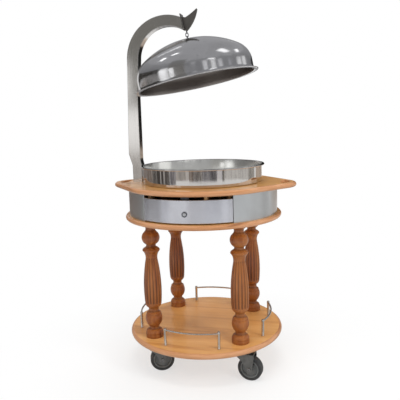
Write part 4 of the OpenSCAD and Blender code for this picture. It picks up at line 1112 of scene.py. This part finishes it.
def make_room():
    """What stands round the trolley, as its polished metal shows it."""
    for i, (radius, start, end, low, *rest) in enumerate(ROOM_WALLS):
        parts = max(1, round((end - start) / 30))
        for k in range(parts):
            a, b = (start + (end - start) * (k + j) / parts for j in (0, 1))
            wall(f"room_wall_{i}_{k}", radius, a, b, low, *rest, streaks=0.7 if low < 0.5 else 0.0)
    for k in range(3):
        wall(f"room_shelves_{k}", 3.6, 140 + 25 * k, 165 + 25 * k, 1.1, 1.9, "55524F", clutter=0.9)
    wall("window_a", 3.5, -147, -132, 1.05, 1.55, "FFFFFF", strength=1.5)
    wall("window_b", 3.1, -125, -115, 1.25, 1.6, "FFFFFF", strength=1.4)
    wall("window_low_a", 3.7, -70, -40, 1.15, 1.5, "C8C8CA", "B8B8BA")
    wall("window_low_b", 3.7, -6, 26, 1.15, 1.9, "F4F4F4", strength=1.1)
    for i, (start, end, tone) in enumerate(WINDOW_ROW):
        wall(f"window_row_{i}", 3.7, start, end, 1.95, 2.5, tone)
    ceiling = [(x, y, CEILING_Z) for x, y in ((-4, -4), (4, -4), (4, 4), (-4, 4))]
    card("room_ceiling", ceiling, "B0B0B2")
    ground = [(*polar(1.3 if k > 6 else 3.6, 30 * k), 0.003) for k in range(12)]
    card("room_floor", ground, "C4C0BC")
    for letter, (x, y, length, width, turn, strength) in zip("abcde", LAMPS):
        c, s = polar(1, turn)
        corners = [(x + c * u * length / 2 - s * v * width / 2,
                    y + s * u * length / 2 + c * v * width / 2, LAMP_Z)
                   for u, v in ((-1, -1), (1, -1), (1, 1), (-1, 1))]
        card("lamp_" + letter, corners, "FFFFFF", strength=strength)
    wall("lamp_f", 3.7, -52, -38, 2.64, 2.92, "FFFFFF", strength=2.2)


def make_stage():
    world = bpy.data.worlds.new("studio")
    bpy.context.scene.world = world
    world.use_nodes = True
    world.node_tree.nodes.clear()
    sky = Nodes(world.node_tree)
    soft = sky.node("Background", {"Strength": 0.75, "Color": (0.97, 0.98, 1, 1)})
    white = sky.node("Background", {"Strength": 1.0, "Color": (1, 1, 1, 1)})
    pick = sky.node("MixShader", {0: sky.seen(), 1: soft.outputs[0], 2: white.outputs[0]})
    sky.node("OutputWorld", {0: pick.outputs[0]})

    mesh = bpy.data.meshes.new("studio_floor")
    corners, faces = plane([(-7, -7), (7, -7), (7, 7), (-7, 7)], 0)
    mesh.from_pydata(corners, [], faces)
    look = Look("pale_floor", roughness=0.8)
    look.drive("Base Color", look.mix(look.noise(1.5), "F2F2F1", "EDEDEC"))
    fade = look.node("VectorMath", {0: look.place()}, operation="LENGTH").outputs["Value"]
    glow = look.node("Emission", {"Strength": 1.0})
    share = look.math("MULTIPLY", look.span(fade, 0.36, 0.95, 0.6, 1.0), look.seen())
    blend = look.node("MixShader", {0: share, 1: look.shader.outputs[0], 2: glow.outputs[0]})
    look.show(blend.outputs[0])
    mesh.materials.append(look.material)
    new_object("studio_floor", mesh)

    area_light("window_left", (-1.9, -2.3, 2.7), (0, 0, 0.8), (1.0, 1.3), 22, (0.97, 0.98, 1.0))
    area_light("window_right", (2.6, -1.5, 2.3), (0, 0, 0.9), (0.7, 1.1), 32)
    area_light("ceiling_front", (0.3, -1.1, 3.3), (0, 0, 0.8), (1.5, 0.4), 22, (1, 0.99, 0.97))
    area_light("ceiling_back", (0.1, 1.6, 3.3), (0, 0, 0.7), (1.6, 0.5), 22, (1, 0.99, 0.97))


make_camera()
make_stage()
make_room()
bpy.context.scene.view_settings.view_transform = "Standard"
